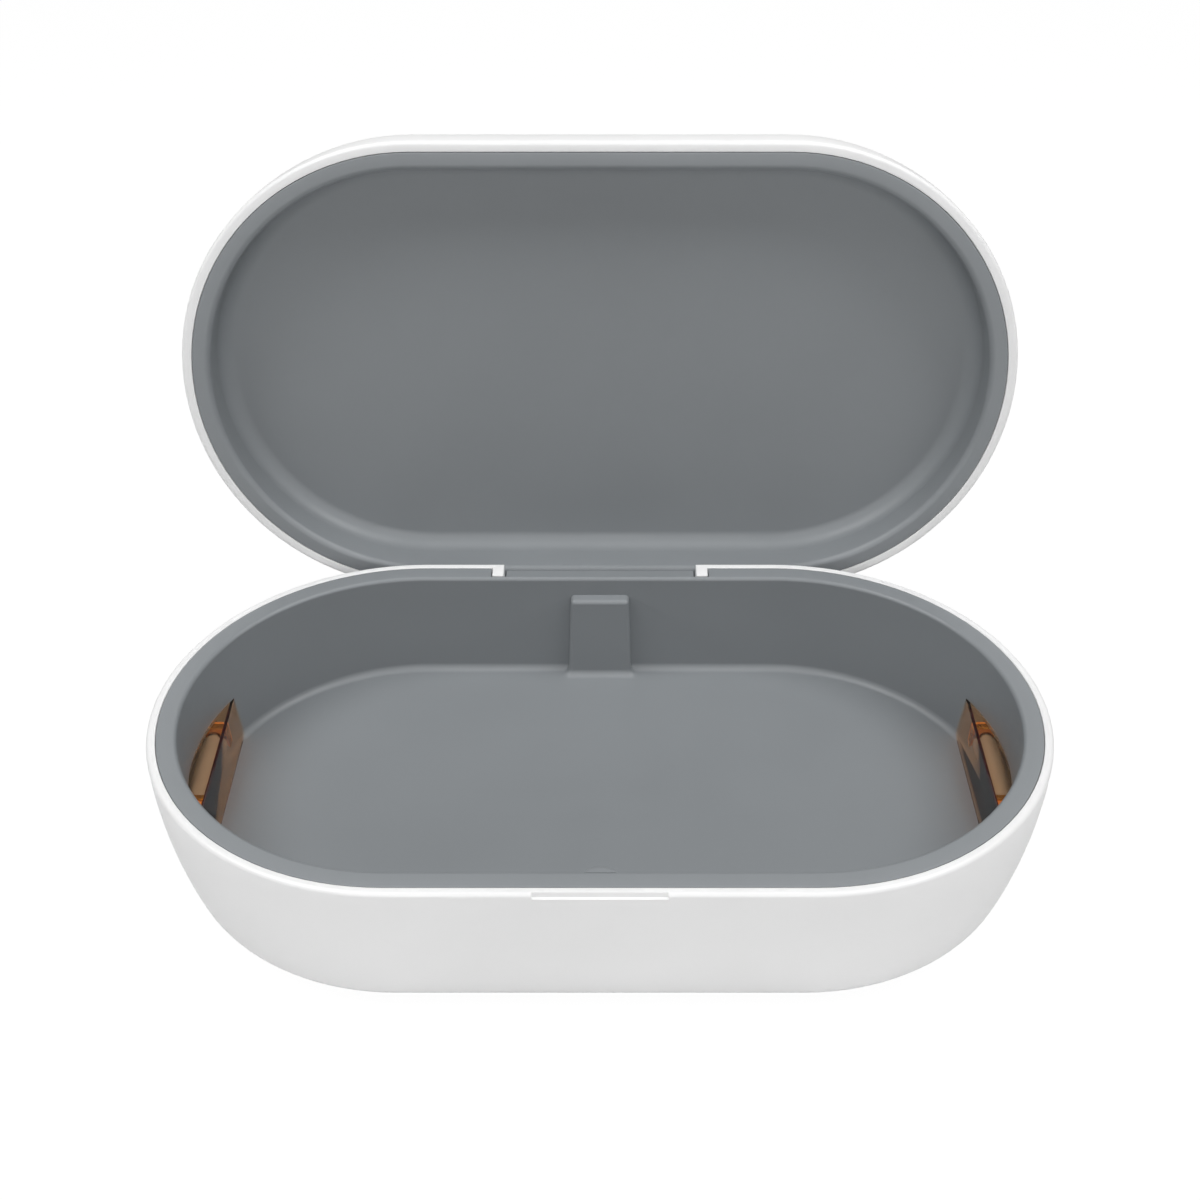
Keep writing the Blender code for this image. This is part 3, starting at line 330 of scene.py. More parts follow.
def prism(name, outline, half):
    """An outline of (y, z) points, filled and drawn out to both sides of x = 0."""
    obj = trace(name, outline)
    bpy.ops.mesh.edge_face_add()
    bpy.ops.mesh.extrude_region_move(TRANSFORM_OT_translate={"value": (0, 2 * half, 0)})
    tidy_faces()
    obj.matrix_world = Matrix.Translation((half, 0, 0)) @ Matrix.Rotation(math.pi / 2, 4, "Z")
    bpy.ops.object.transform_apply()
    return obj


def rod(name, start, end, radius, vertices=48):
    """A round bar between two points."""
    along = Vector(end) - Vector(start)
    bpy.ops.object.select_all(action="DESELECT")
    bpy.ops.mesh.primitive_cylinder_add(
        vertices=vertices,
        radius=radius,
        depth=along.length,
        location=(Vector(start) + Vector(end)) / 2,
        rotation=along.to_track_quat("Z", "Y").to_euler(),
    )
    obj = adjust(bpy.context.object, name=name)
    bpy.ops.object.transform_apply()
    return obj


def pill(name, x, z, width, height, front, back, round_by=0):
    """An upright obround along Y: a cylinder whose halves are drawn apart, its end faces' edges rounded."""
    obj = rod(name, (0, front, 0), (0, back, 0), height / 2)
    bpy.ops.object.mode_set(mode="EDIT")
    for sign in (-1, 1):
        pick(obj, "VERT", lambda v: v.co.x * sign > MM / 100)
        bpy.ops.transform.translate(value=(sign * (width - height) / 2, 0, 0))
    if round_by:
        pick(obj, "EDGE", lambda e: len({f.normal.y > 0.5 or f.normal.y < -0.5 for f in e.link_faces}) == 2)
        bevel(round_by, 4)
    bpy.ops.mesh.select_all(action="SELECT")
    bpy.ops.transform.translate(value=(x, 0, z))
    tidy_faces()
    return obj


def bevel(width, segments, clamp=False):
    """In edit mode: rounds the selected edges."""
    bpy.ops.mesh.bevel(offset=width, segments=segments, profile=0.5, affect="EDGES", clamp_overlap=clamp)


def pick(obj, kind, test):
    """In edit mode: selects the vertices, edges or faces that pass a test."""
    bpy.ops.mesh.select_mode(type=kind)
    bpy.ops.mesh.select_all(action="DESELECT")
    mesh = bmesh.from_edit_mesh(obj.data)
    for item in {"VERT": mesh.verts, "EDGE": mesh.edges, "FACE": mesh.faces}[kind]:
        if test(item):
            item.select_set(True)
    bmesh.update_edit_mesh(obj.data)


def copy_of(first, name, place, end=-1):
    """A copy with its own mesh. What was made for the front end, -1, is turned half round for the back end, 1."""
    obj = first.copy()
    obj.data = first.data.copy()
    bpy.context.scene.collection.objects.link(obj)
    return adjust(obj, name=name, location=place, rotation_euler=(0, 0, math.pi if end > 0 else 0))


def combine(obj, operation, *others):
    """Boolean modifiers, each applied and its cutter removed."""
    for other in others:
        only(obj)
        bpy.ops.object.modifier_add(type="BOOLEAN")
        cut = adjust(obj.modifiers[-1], operation=operation, solver="EXACT", object=other)
        bpy.ops.object.modifier_apply(modifier=cut.name)
        bpy.data.objects.remove(other)
    return obj


def soften(obj, low, high, width, angle=35, segments=3):
    """Rounds the sharp edges that lie inside a box."""
    only(obj)
    bpy.ops.object.mode_set(mode="EDIT")
    limit = math.radians(angle)

    def inside(v):
        return all(low[i] <= v.co[i] <= high[i] for i in range(3))

    pick(obj, "EDGE", lambda e: all(inside(v) for v in e.verts) and e.calc_face_angle(0) > limit)
    bevel(width, segments, clamp=True)
    tidy_faces()
    return obj


def open_lid(obj):
    """Turns a piece that was modelled shut about the hinge axis, as the photograph's lid stands."""
    hinge = settings("hinge")
    axis = Matrix.Translation((0, hinge.back, RIM_TOP - hinge.drop))
    only(obj)
    obj.matrix_world = axis @ Matrix.Rotation(-hinge.open_angle, 4, "X") @ axis.inverted()
    bpy.ops.object.transform_apply()
    return obj


def hand_over(obj, body, slot, *materials, nodes=(), angle=32):
    """Shading, materials and place in the frame of a finished piece."""
    only(obj)
    bpy.ops.object.transform_apply()
    bpy.ops.object.shade_smooth_by_angle(angle=math.radians(angle))
    for made in materials:
        obj.data.materials.append(made)
    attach(obj, body)
    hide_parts(*nodes)
    return obj


def add_node(tree, kind, values=None, links=None, **options):
    """One shader node: its options, its sockets' values, and the outputs that feed its sockets."""
    node = tree.nodes.new(kind)
    adjust(node, **options)
    for socket, value in (values or {}).items():
        node.inputs[socket].default_value = value
    for socket, output in (links or {}).items():
        tree.links.new(output, node.inputs[socket])
    return node


def start_material(name):
    """An empty node tree with its output and the Object coordinates of its piece, in metres."""
    made = bpy.data.materials.new(name)
    made.use_nodes = True
    tree = made.node_tree
    tree.nodes.clear()
    output = add_node(tree, "ShaderNodeOutputMaterial")
    place = add_node(tree, "ShaderNodeTexCoord").outputs["Object"]
    return made, tree, output, place


def moulded_plastic(name, base, roughness, grain_mm, grain_depth_mm, smear, coat=0.0, ior=1.53):
    """Moulded plastic: one colour all through, a spark-eroded grain, and a shine that handling has varied."""
    found = bpy.data.materials.get(name)
    if found:
        return found
    made, tree, output, place = start_material(name)
    grain = add_node(
        tree,
        "ShaderNodeTexNoise",
        {"Scale": 1 / (grain_mm * MM), "Detail": 3.0, "Roughness": 0.6},
        {"Vector": place},
    )
    drift = add_node(tree, "ShaderNodeTexNoise", {"Scale": 1 / (38 * MM), "Detail": 2.0}, {"Vector": place})
    smears = add_node(
        tree,
        "ShaderNodeTexNoise",
        {"Scale": 1 / (11 * MM), "Detail": 4.0, "Roughness": 0.65, "Distortion": 0.6},
        {"Vector": place},
    )
    shine = add_node(
        tree,
        "ShaderNodeMapRange",
        {"From Min": 0.3, "From Max": 0.7, "To Min": roughness - smear, "To Max": roughness + smear},
        {"Value": smears.outputs["Fac"]},
    )
    tone = add_node(
        tree,
        "ShaderNodeMapRange",
        {"From Min": 0.3, "From Max": 0.7, "To Min": 0.98, "To Max": 1.02},
        {"Value": drift.outputs["Fac"]},
    )
    tint = add_node(
        tree,
        "ShaderNodeVectorMath",
        {0: base[:3]},
        {"Scale": tone.outputs["Result"]},
        operation="SCALE",
    )
    bump = add_node(
        tree,
        "ShaderNodeBump",
        {"Strength": 1.0, "Distance": grain_depth_mm * MM},
        {"Height": grain.outputs["Fac"]},
    )
    shader = add_node(
        tree,
        "ShaderNodeBsdfPrincipled",
        {"IOR": ior, "Coat Weight": coat, "Coat Roughness": 0.2},
        {
            "Base Color": tint.outputs["Vector"],
            "Roughness": shine.outputs["Result"],
            "Normal": bump.outputs["Normal"],
        },
    )
    tree.links.new(shader.outputs["BSDF"], output.inputs["Surface"])
    return made


def white_abs():
    """White ABS, moulded in a fine-blasted tool: an even soft shine. The 0.1 mm grain is drawn at 0.5 mm."""
    return moulded_plastic("moulded_white_abs", settings("colours").shell, 0.36, 0.5, 0.004, 0.05)


def grey_abs():
    """Grey ABS with a matt spark-eroded grain, which dulls reflections. The 0.15 mm grain is drawn at 0.5 mm."""
    return moulded_plastic("spark_eroded_grey_abs", settings("colours").liner, 0.47, 0.5, 0.008, 0.05)


def foot_rubber():
    """Moulded thermoplastic rubber: dark, dull and a little dusty."""
    return moulded_plastic("moulded_foot_rubber", settings("colours").rubber, 0.78, 0.4, 0.02, 0.08, ior=1.5)


def black_nylon():
    """Black glass-filled nylon of the small electrical housings: a dull, faintly mottled skin."""
    return moulded_plastic("black_filled_nylon", linear("#262729"), 0.55, 0.3, 0.01, 0.07)


def holder_nylon():
    """Orange-brown heat-proof nylon of the lamp holders: moulded with a slight gloss."""
    return moulded_plastic("orange_heatproof_nylon", linear("#DC9C50"), 0.4, 0.25, 0.006, 0.06)


def solder_mask():
    """Green solder mask on a glass-fibre board: thin, glossy, a weave of 0.6 mm faint under it."""
    return moulded_plastic("green_solder_mask", settings("colours").board, 0.28, 0.6, 0.006, 0.04, coat=0.3)


def plated_metal(name, base, roughness, brushing_mm, depth_mm):
    """Plated metal: fine drawn lines along X that stretch its highlights, and a slightly clouded shine."""
    found = bpy.data.materials.get(name)
    if found:
        return found
    made, tree, output, place = start_material(name)
    lines = add_node(tree, "ShaderNodeMapping", {"Scale": (0.06, 1.0, 1.0)}, {"Vector": place})
    brushed = add_node(
        tree,
        "ShaderNodeTexNoise",
        {"Scale": 1 / (brushing_mm * MM), "Detail": 3.0},
        {"Vector": lines.outputs["Vector"]},
    )
    cloud = add_node(tree, "ShaderNodeTexNoise", {"Scale": 1 / (3 * MM), "Detail": 3.0}, {"Vector": place})
    shine = add_node(
        tree,
        "ShaderNodeMapRange",
        {"From Min": 0.3, "From Max": 0.7, "To Min": roughness - 0.06, "To Max": roughness + 0.08},
        {"Value": cloud.outputs["Fac"]},
    )
    bump = add_node(
        tree,
        "ShaderNodeBump",
        {"Strength": 0.6, "Distance": depth_mm * MM},
        {"Height": brushed.outputs["Fac"]},
    )
    shader = add_node(
        tree,
        "ShaderNodeBsdfPrincipled",
        {"Base Color": (*base, 1.0), "Metallic": 1.0},
        {"Roughness": shine.outputs["Result"], "Normal": bump.outputs["Normal"]},
    )
    tree.links.new(shader.outputs["BSDF"], output.inputs["Surface"])
    return made


def zinc_steel():
    """Zinc-plated steel of the pin and screws: pale, slightly blue, softly brushed."""
    return plated_metal("zinc_plated_steel", linear("#C3C7CB"), 0.3, 0.15, 0.004)


def nickel_shell():
    """Nickel-plated stainless sheet of the socket: bright and smooth."""
    return plated_metal("nickel_plated_sheet", linear("#CFCBC4"), 0.2, 0.2, 0.002)


def gold_contact():
    """Gold-plated brass of the spring contacts: warm and smooth."""
    return plated_metal("gold_plated_brass", linear("#E8B650"), 0.22, 0.2, 0.002)


def clear_material(name, base, roughness, ior, wave_mm, wave_depth_mm, clearness, passing, depth_tint=None):
    """A clear moulded or drawn material whose skin waves slightly. It lets a share of the lamps' light past, and a
    depth tint deepens with the way through it."""
    found = bpy.data.materials.get(name)
    if found:
        return found
    made, tree, output, place = start_material(name)
    wave = add_node(tree, "ShaderNodeTexNoise", {"Scale": 1 / (wave_mm * MM), "Detail": 1.0}, {"Vector": place})
    dust = add_node(
        tree,
        "ShaderNodeTexNoise",
        {"Scale": 1 / (2 * MM), "Detail": 5.0, "Roughness": 0.7},
        {"Vector": place},
    )
    shine = add_node(
        tree,
        "ShaderNodeMapRange",
        {"From Min": 0.4, "From Max": 0.8, "To Min": roughness, "To Max": roughness + 0.05},
        {"Value": dust.outputs["Fac"]},
    )
    bump = add_node(
        tree,
        "ShaderNodeBump",
        {"Strength": 0.5, "Distance": wave_depth_mm * MM},
        {"Height": wave.outputs["Fac"]},
    )
    shader = add_node(
        tree,
        "ShaderNodeBsdfPrincipled",
        {"Base Color": (*base[:3], 1.0), "IOR": ior, "Transmission Weight": clearness},
        {"Roughness": shine.outputs["Result"], "Normal": bump.outputs["Normal"]},
    )
    passed = add_node(tree, "ShaderNodeBsdfTransparent", {"Color": (passing, passing, passing, 1.0)})
    path = add_node(tree, "ShaderNodeLightPath")
    mix = add_node(
        tree,
        "ShaderNodeMixShader",
        links={"Fac": path.outputs["Is Shadow Ray"], 1: shader.outputs["BSDF"], 2: passed.outputs["BSDF"]},
    )
    tree.links.new(mix.outputs[0], output.inputs["Surface"])
    if depth_tint:
        tint = add_node(tree, "ShaderNodeVolumeAbsorption", {"Color": (*depth_tint, 1.0), "Density": 1.0 / MM})
        tree.links.new(tint.outputs[0], output.inputs["Volume"])
    return made


def amber_plastic():
    """Amber clear polycarbonate, which holds back ultraviolet light: light brown through its wall, and deep orange
    along its edges, where the eye looks through more of it."""
    tint = tuple(settings("colours").amber)
    return clear_material("amber_clear_polycarbonate", (0.97, 0.96, 0.94), 0.03, 1.585, 6, 0.01, 1.0, 0.9, tint)


def quartz():
    """Drawn glass of the lamp tubes, which passes ultraviolet light: half clear, greyed by the deposit inside."""
    return clear_material("greyed_lamp_glass", linear("#BCC2CC"), 0.12, 1.5, 4, 0.004, 0.35, 0.6)


def base_profile():
    """The base's wall, from its seam over the rim and down to the cover, and back up inside."""
    plan, base = settings("plan"), settings("base")
    seam, edge = plan.seam_radius + plan.seam_gap / 2, plan.edge_round
    seam_foot, groove = RIM_TOP - 3 * MM, seam - 1.3 * MM
    foot = RIM_TOP - base.height
    wall = bowed_wall(base.height, base.lean, base.bulge, base.corner, 0, plan.rim_round)
    outer = [(r, RIM_TOP + z) for r, z in wall]
    lip, ledge = base.cover_radius + 0.15 * MM, base.cover_radius - 1.75 * MM
    shelf = foot + base.cover_thickness + PLAY
    shelf_top = shelf + 1.2 * MM
    rim_edge = arc((plan.rim_radius - plan.rim_round, RIM_TOP - plan.rim_round), plan.rim_round, 90, 0, 8)
    within = bowed_wall(base.height, base.lean, base.bulge, base.corner, plan.shell_wall, 5 * MM)
    inner = [(r, RIM_TOP + z) for r, z in reversed(within)]
    profile = rounded([(seam, seam_foot), (seam, RIM_TOP, edge), (plan.rim_radius, RIM_TOP)])[:-1]
    profile += rim_edge + outer[1:-1]
    profile += rounded([outer[-1], (lip, foot, edge), (lip, shelf)])
    profile += [(ledge, shelf), (ledge, shelf_top), (lip + 2 * MM, shelf_top)]
    return profile + inner + [(groove, seam_foot - 0.8 * MM), (groove, seam_foot)]


def stop_height(y):
    """The floor of the hinge slot, on which the open lid's knuckle rests."""
    hinge = settings("hinge")
    lean = hinge.open_angle - math.pi / 2
    drop = (hinge.reach + hinge.gap + math.sin(lean) * (y - hinge.back)) / math.cos(lean)
    return RIM_TOP - hinge.drop - drop


class UVBOX_OT_base_shell(bpy.types.Operator):
    """The white outer wall of the base, with the hinge's cheeks, the finger notch and two holes behind"""

    bl_idname = "uvbox.base_shell"
    bl_label = "Base Shell"

    def execute(self, context):
        plan, base, hinge, back = (settings(n) for n in ("plan", "base", "hinge", "back"))
        shell = sweep_obround("outer_base", base_profile())
        front, rear = settings("cavity").radius + hinge.slot_front, plan.rim_radius - 1.5 * MM
        outside, above = plan.rim_radius + OVERSHOOT, RIM_TOP + OVERSHOOT
        cheek, start = hinge.slot_half + hinge.cheek, front - OVERSHOOT
        pocket = block("pocket", (-cheek, front, stop_height(rear) - 1.8 * MM), (cheek, rear, RIM_TOP))
        combine(shell, "UNION", pocket)
        low, high = stop_height(start), stop_height(outside)
        slot = prism("slot", [(start, above), (start, low), (outside, high), (outside, above)], hinge.slot_half)
        half = base.notch_width / 2
        notch_low, notch_high = (-half, -outside), (half, base.notch_depth - plan.rim_radius)
        notch = block("notch", (*notch_low, RIM_TOP - base.notch_height), (*notch_high, above))
        holes = [
            pill(name, x, z, width + 2 * PLAY, height + 2 * PLAY, back_wall(button_height()) - 6 * MM, outside)
            for name, x, z, width, height in (
                ("button", back.button_x, button_height(), back.button_width, back.button_height),
                ("socket", back.socket_x, socket_height(), back.socket_width, back.socket_height),
            )
        ]
        combine(shell, "DIFFERENCE", slot, pin_bore(cheek + 2 * MM), notch, *holes)
        edge = plan.edge_round
        soften(shell, (-cheek - MM, front - MM, high - 0.2 * MM), (cheek + MM, outside, above), edge)
        soften(shell, (-half - MM, -outside, RIM_TOP - 3 * MM), (half + MM, MM - plan.rim_radius, above), edge)
        inside, below, over = back_wall(button_height()) - 2 * MM, button_height() - 4 * MM, button_height() + 4 * MM
        for x in (back.button_x, back.socket_x):
            soften(shell, (x - 8 * MM, inside, below), (x + 8 * MM, outside, over), edge)
        hand_over(shell, "base", "white_shell", white_abs(), nodes=["base_shell"])
        return {"FINISHED"}


def pin_bore(reach):
    """The cutter of the hinge pin's bore, out to both sides."""
    hinge = settings("hinge")
    y, z = hinge.back, RIM_TOP - hinge.drop
    return rod("bore", (-reach, y, z), (reach, y, z), hinge.pin_radius + PIN_PLAY)


def back_wall(height):
    """How far out the back of the base is at a height above the table."""
    base = settings("base")
    wall = bowed_wall(base.height, base.lean, base.bulge, base.corner, 0, settings("plan").rim_round)
    points = [(r, RIM_TOP + z) for r, z in wall]
    for (r1, z1), (r2, z2) in pairwise(points):
        if z2 <= height <= z1:
            return r1 + (r2 - r1) * (z1 - height) / (z1 - z2)
    return settings("plan").rim_radius


def middle(node):
    low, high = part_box(node)
    return (Vector(low) + Vector(high)) / 2


def button_height():
    return middle("power_button").z


def socket_height():
    return middle("usb_c_socket").z


class UVBOX_OT_base_liner(bpy.types.Operator):
    """The grey cavity with its flat rim, the post behind, the bump in front and the lamp windows"""

    bl_idname = "uvbox.base_liner"
    bl_label = "Base Liner"

    def execute(self, context):
        plan, cavity, hinge, lamp = (settings(n) for n in ("plan", "cavity", "hinge", "lamp"))
        floor = RIM_TOP - cavity.depth
        foot = cavity.radius - cavity.draft
        seam = plan.seam_radius - plan.seam_gap / 2
        outer = cavity.radius + plan.liner_wall
        under = RIM_TOP - cavity.flange
        bottom = floor - cavity.floor_thickness
        inner = arc((foot - cavity.fillet, floor + cavity.fillet), cavity.fillet, -90, 0, 10)
        centre = (cavity.radius + cavity.edge_round, RIM_TOP - cavity.edge_round)
        profile = [(0, floor), *inner, *arc(centre, cavity.edge_round, 180, 90, 8)]
        profile += rounded([profile[-1], (seam, RIM_TOP, plan.edge_round), (seam, under)])[1:]
        profile += rounded([(outer, under), (outer - cavity.draft, bottom, cavity.under_corner), (0, bottom)], 8)
        liner = sweep_obround("inner_base", profile, closed=False)
        combine(liner, "UNION", self.post(floor), self.bump())
        side = hinge.slot_half + hinge.cheek + hinge.gap
        wall_back = cavity.radius + hinge.room_front
        low = stop_height(plan.rim_radius) - 2.4 * MM
        room = block("room", (-side, wall_back, low), (side, plan.rim_radius + MM, RIM_TOP + MM))
        combine(liner, "DIFFERENCE", room)
        half = lamp.half_length + lamp.holder_thickness + 2 * PLAY
        axis_z, half_height = floor + lamp.axis_height, lamp.holder_height / 2 + PLAY
        for _, sign in SIDES:
            near, far = sign * (lamp.cover_face + lamp.window_inset), sign * (plan.straight_half + plan.rim_radius)
            low = (near, lamp.shift - half, axis_z - half_height)
            combine(liner, "DIFFERENCE", block("window", low, (far, lamp.shift + half, axis_z + half_height)))
        low, high = (-side - MM, wall_back - MM, RIM_TOP - 4 * MM), (side + MM, plan.rim_radius, RIM_TOP + MM)
        soften(liner, low, high, plan.edge_round)
        hand_over(liner, "base", "grey_liner", grey_abs(), nodes=["base_liner"])
        return {"FINISHED"}

    def post(self, floor):
        """A block that widens downwards, its foot run out into the floor like the cavity's wall."""
        cavity = settings("cavity")
        half, fillet = cavity.post_width / 2, cavity.fillet
        front, rear = cavity.radius - cavity.post_proud, cavity.radius + 0.8 * MM
        foot = floor + fillet
        post = block("post", (-half, front, foot), (half, rear, floor + cavity.post_height))
        bpy.ops.object.mode_set(mode="EDIT")
        pick(post, "VERT", lambda v: v.co.z < foot + MM)
        flare = 1 + cavity.post_flare / cavity.post_width
        bpy.ops.transform.resize(value=(flare, 1, 1), center_override=(0, rear, foot))

        def outer(edge):
            return min(v.co.y for v in edge.verts) < rear - MM and max(v.co.z for v in edge.verts) > foot + MM

        pick(post, "EDGE", outer)
        bevel(cavity.post_round, 6)
        pick(post, "FACE", lambda f: f.normal.z < -0.9)
        width, depth = half + cavity.post_flare / 2, rear - front
        for (reach, height), (wider, lower) in pairwise(arc((0, fillet), fillet, 0, -90, 8)):
            grow, drop = reach - wider, lower - height
            bpy.ops.mesh.extrude_region_move(TRANSFORM_OT_translate={"value": (0, 0, drop)})
            bpy.ops.transform.resize(value=(1 + grow / width, 1 + grow / depth, 1), center_override=(0, rear, foot))
            width, depth = width + grow, depth + grow
        bpy.ops.mesh.extrude_region_move(TRANSFORM_OT_translate={"value": (0, 0, -0.5 * MM)})
        tidy_faces()
        return post

    def bump(self):
        cavity = settings("cavity")
        half = cavity.bump_width / 2
        radius = (half**2 + cavity.bump_proud**2) / (2 * cavity.bump_proud)
        y = cavity.bump_proud - cavity.radius - radius
        bump = rod("bump", (0, y, RIM_TOP - cavity.bump_height), (0, y, RIM_TOP), radius, 96)
        bpy.ops.object.mode_set(mode="EDIT")
        pick(bump, "EDGE", lambda e: min(v.co.z for v in e.verts) > RIM_TOP - MM / 10)
        bevel(cavity.edge_round, 6)
        pick(bump, "EDGE", lambda e: max(v.co.z for v in e.verts) < RIM_TOP - cavity.bump_height + MM / 10)
        bevel(0.6 * MM, 4)
        tidy_faces()
        outside = block("outside", (-2 * half, y - 9 * MM, 0), (2 * half, -cavity.radius - 0.5 * MM, 2 * RIM_TOP))
        return combine(bump, "DIFFERENCE", outside)


class UVBOX_OT_bottom_cover(bpy.types.Operator):
    """The flat cover under the base, with a round recess for each foot"""

    bl_idname = "uvbox.bottom_cover"
    bl_label = "Bottom Cover"

    def execute(self, context):
        base = settings("base")
        low, high = base.foot_proud, base.foot_proud + base.cover_thickness
        edge = 0.4 * MM
        profile = rounded([(0, low), (base.cover_radius, low, edge), (base.cover_radius, high, 0.15 * MM), (0, high)])
        cover = sweep_obround("underside_cover", profile, closed=False)
        for x in (-base.foot_x, base.foot_x):
            for y in (-base.foot_y, base.foot_y):
                below = (x, y, low - MM)
                tower = rod("tower", (x, y, high - 0.5 * MM), (x, y, high + base.tower_height), base.tower_radius)
                recess = rod("recess", below, (x, y, low + base.recess_depth), base.foot_radius + PLAY, 64)
                head = rod("head", below, (x, y, low + base.head_depth), base.head_radius)
                shank = rod("shank", below, (x, y, high + 4 * MM), base.shank_radius)
                combine(cover, "UNION", tower)
                combine(cover, "DIFFERENCE", recess, head, shank)
        low_corner, high_corner = (-0.2, -0.2, 0), (0.2, 0.2, low + 0.1 * MM)
        soften(cover, low_corner, high_corner, 0.15 * MM, angle=50)
        hand_over(cover, "base", "white_shell", white_abs(), nodes=["bottom_cover"])
        return {"FINISHED"}


class UVBOX_OT_feet(bpy.types.Operator):
    """Four round rubber pads over the cover's screws"""

    bl_idname = "uvbox.feet"
    bl_label = "Feet"

    def execute(self, context):
        base = settings("base")
        radius, top = base.foot_radius, 1.6 * MM
        side = [(radius, top, 0.2 * MM), (radius, 0.06 * MM, 0.5 * MM)]
        first = turn("foot", rounded([(0, top), *side, (radius - 1.2 * MM, 0), (0, 0)]), (0, 0, 0), steps=64)
        for y_name, y in ENDS:
            for x_name, x in SIDES:
                foot = copy_of(first, f"pad_{y_name}_{x_name}", (x * base.foot_x, y * base.foot_y, 0))
                hand_over(foot, "base", "foot_pad", foot_rubber(), nodes=[f"foot_{y_name}_{x_name}"])
        bpy.data.objects.remove(first)
        return {"FINISHED"}


class UVBOX_OT_lid_shell(bpy.types.Operator):
    """The white outside of the lid"""

    bl_idname = "uvbox.lid_shell"
    bl_label = "Lid Shell"

    def execute(self, context):
        plan, lid = settings("plan"), settings("lid")
        rim, seam = RIM_TOP + lid.gap, lid.seam_radius + plan.seam_gap / 2
        wall = bowed_wall(lid.height, lid.lean, lid.bulge, lid.corner, 0, plan.rim_round)
        outer = [(r, rim - z) for r, z in wall]
        within = bowed_wall(lid.height, lid.lean, lid.bulge, lid.corner, plan.shell_wall, 4.5 * MM)
        inner = [(r, rim - z) for r, z in within]
        edge = arc((plan.rim_radius - plan.rim_round, rim + plan.rim_round), plan.rim_round, 0, -90, 8)
        profile = [(0, rim + lid.height), *reversed(outer[1:]), *edge]
        profile += rounded([edge[-1], (seam, rim, plan.edge_round), (seam, rim + 2.5 * MM)])[1:]
        profile += [(seam - 1.3 * MM, rim + 2.5 * MM), (seam - 1.3 * MM, rim + 3.5 * MM), *inner]
        profile += [(0, inner[-1][1])]
        shell = sweep_obround("outer_lid", profile, closed=False)
        hand_over(open_lid(shell), "lid", "white_shell", white_abs(), nodes=["lid_shell"])
        return {"FINISHED"}


class UVBOX_OT_lid_liner(bpy.types.Operator):
    """The lid's grey dish, with the hinge knuckle that hangs from its rim into the base's slot"""

    bl_idname = "uvbox.lid_liner"
    bl_label = "Lid Liner"

    def execute(self, context):
        plan, lid, hinge = settings("plan"), settings("lid"), settings("hinge")
        rim, seam = RIM_TOP + lid.gap, lid.seam_radius - plan.seam_gap / 2
        top = rim + lid.dish_depth
        centre = (lid.dish_radius - lid.dish_fillet, top - lid.dish_fillet)
        mouth = arc((lid.dish_radius + lid.dish_edge, rim + lid.dish_edge), lid.dish_edge, -90, -180, 8)
        profile = [(0, top + plan.liner_wall), *arc(centre, lid.dish_fillet + plan.liner_wall, 90, 0, 10)]
        profile += [(lid.dish_radius + plan.liner_wall, rim + 2 * MM)]
        profile += rounded([(seam, rim + 2 * MM), (seam, rim, plan.edge_round), mouth[0]])[:-1]
        profile += [*mouth, *arc(centre, lid.dish_fillet, 0, 90, 10), (0, top)]
        liner = sweep_obround("inner_lid", profile, closed=False)
        combine(liner, "UNION", self.knuckle(rim))
        axis_z, reach = RIM_TOP - hinge.drop, hinge.slot_half + MM
        combine(liner, "DIFFERENCE", pin_bore(reach))
        low, high = (-reach, hinge.back - 5 * MM, axis_z - 5 * MM), (reach, hinge.back + 5 * MM, rim - 0.1 * MM)
        soften(liner, low, high, 0.25 * MM)
        hand_over(open_lid(liner), "lid", "grey_liner", grey_abs(), nodes=["lid_liner"])
        return {"FINISHED"}

    def knuckle(self, rim):
        cavity, hinge, lid = settings("cavity"), settings("hinge"), settings("lid")
        front = cavity.radius + hinge.slot_front
        radius, rear = hinge.back - front, hinge.back + hinge.reach
        step = lid.seam_radius - 0.45 * MM
        axis_z = RIM_TOP - hinge.drop
        outline = [(front, rim + MM), *arc((hinge.back, axis_z), radius, 180, 270, 12)]
        outline += arc((rear - radius, axis_z), radius, 270, 360, 12)
        outline += [(rear, rim - 0.3 * MM), (step, rim - 0.3 * MM), (step, rim + MM)]
        return prism("knuckle", outline, hinge.slot_half - hinge.gap)


class UVBOX_OT_hinge_pin(bpy.types.Operator):
    """The steel pin through the cheeks and the knuckle, its ends chamfered"""

    bl_idname = "uvbox.hinge_pin"
    bl_label = "Hinge Pin"

    def execute(self, context):
        hinge = settings("hinge")
        half = hinge.slot_half + hinge.cheek - PLAY
        radius, chamfer = hinge.pin_radius, 0.3 * MM
        end = [(0, half), (radius - chamfer, half), (radius, half - chamfer)]
        profile = end + [(r, -z) for r, z in reversed(end)]
        pin = turn("hinge_rod", profile, (0, hinge.back, RIM_TOP - hinge.drop), (0, math.pi / 2, 0))
        hand_over(pin, "base", "steel", zinc_steel(), nodes=["hinge_pin"])
        return {"FINISHED"}


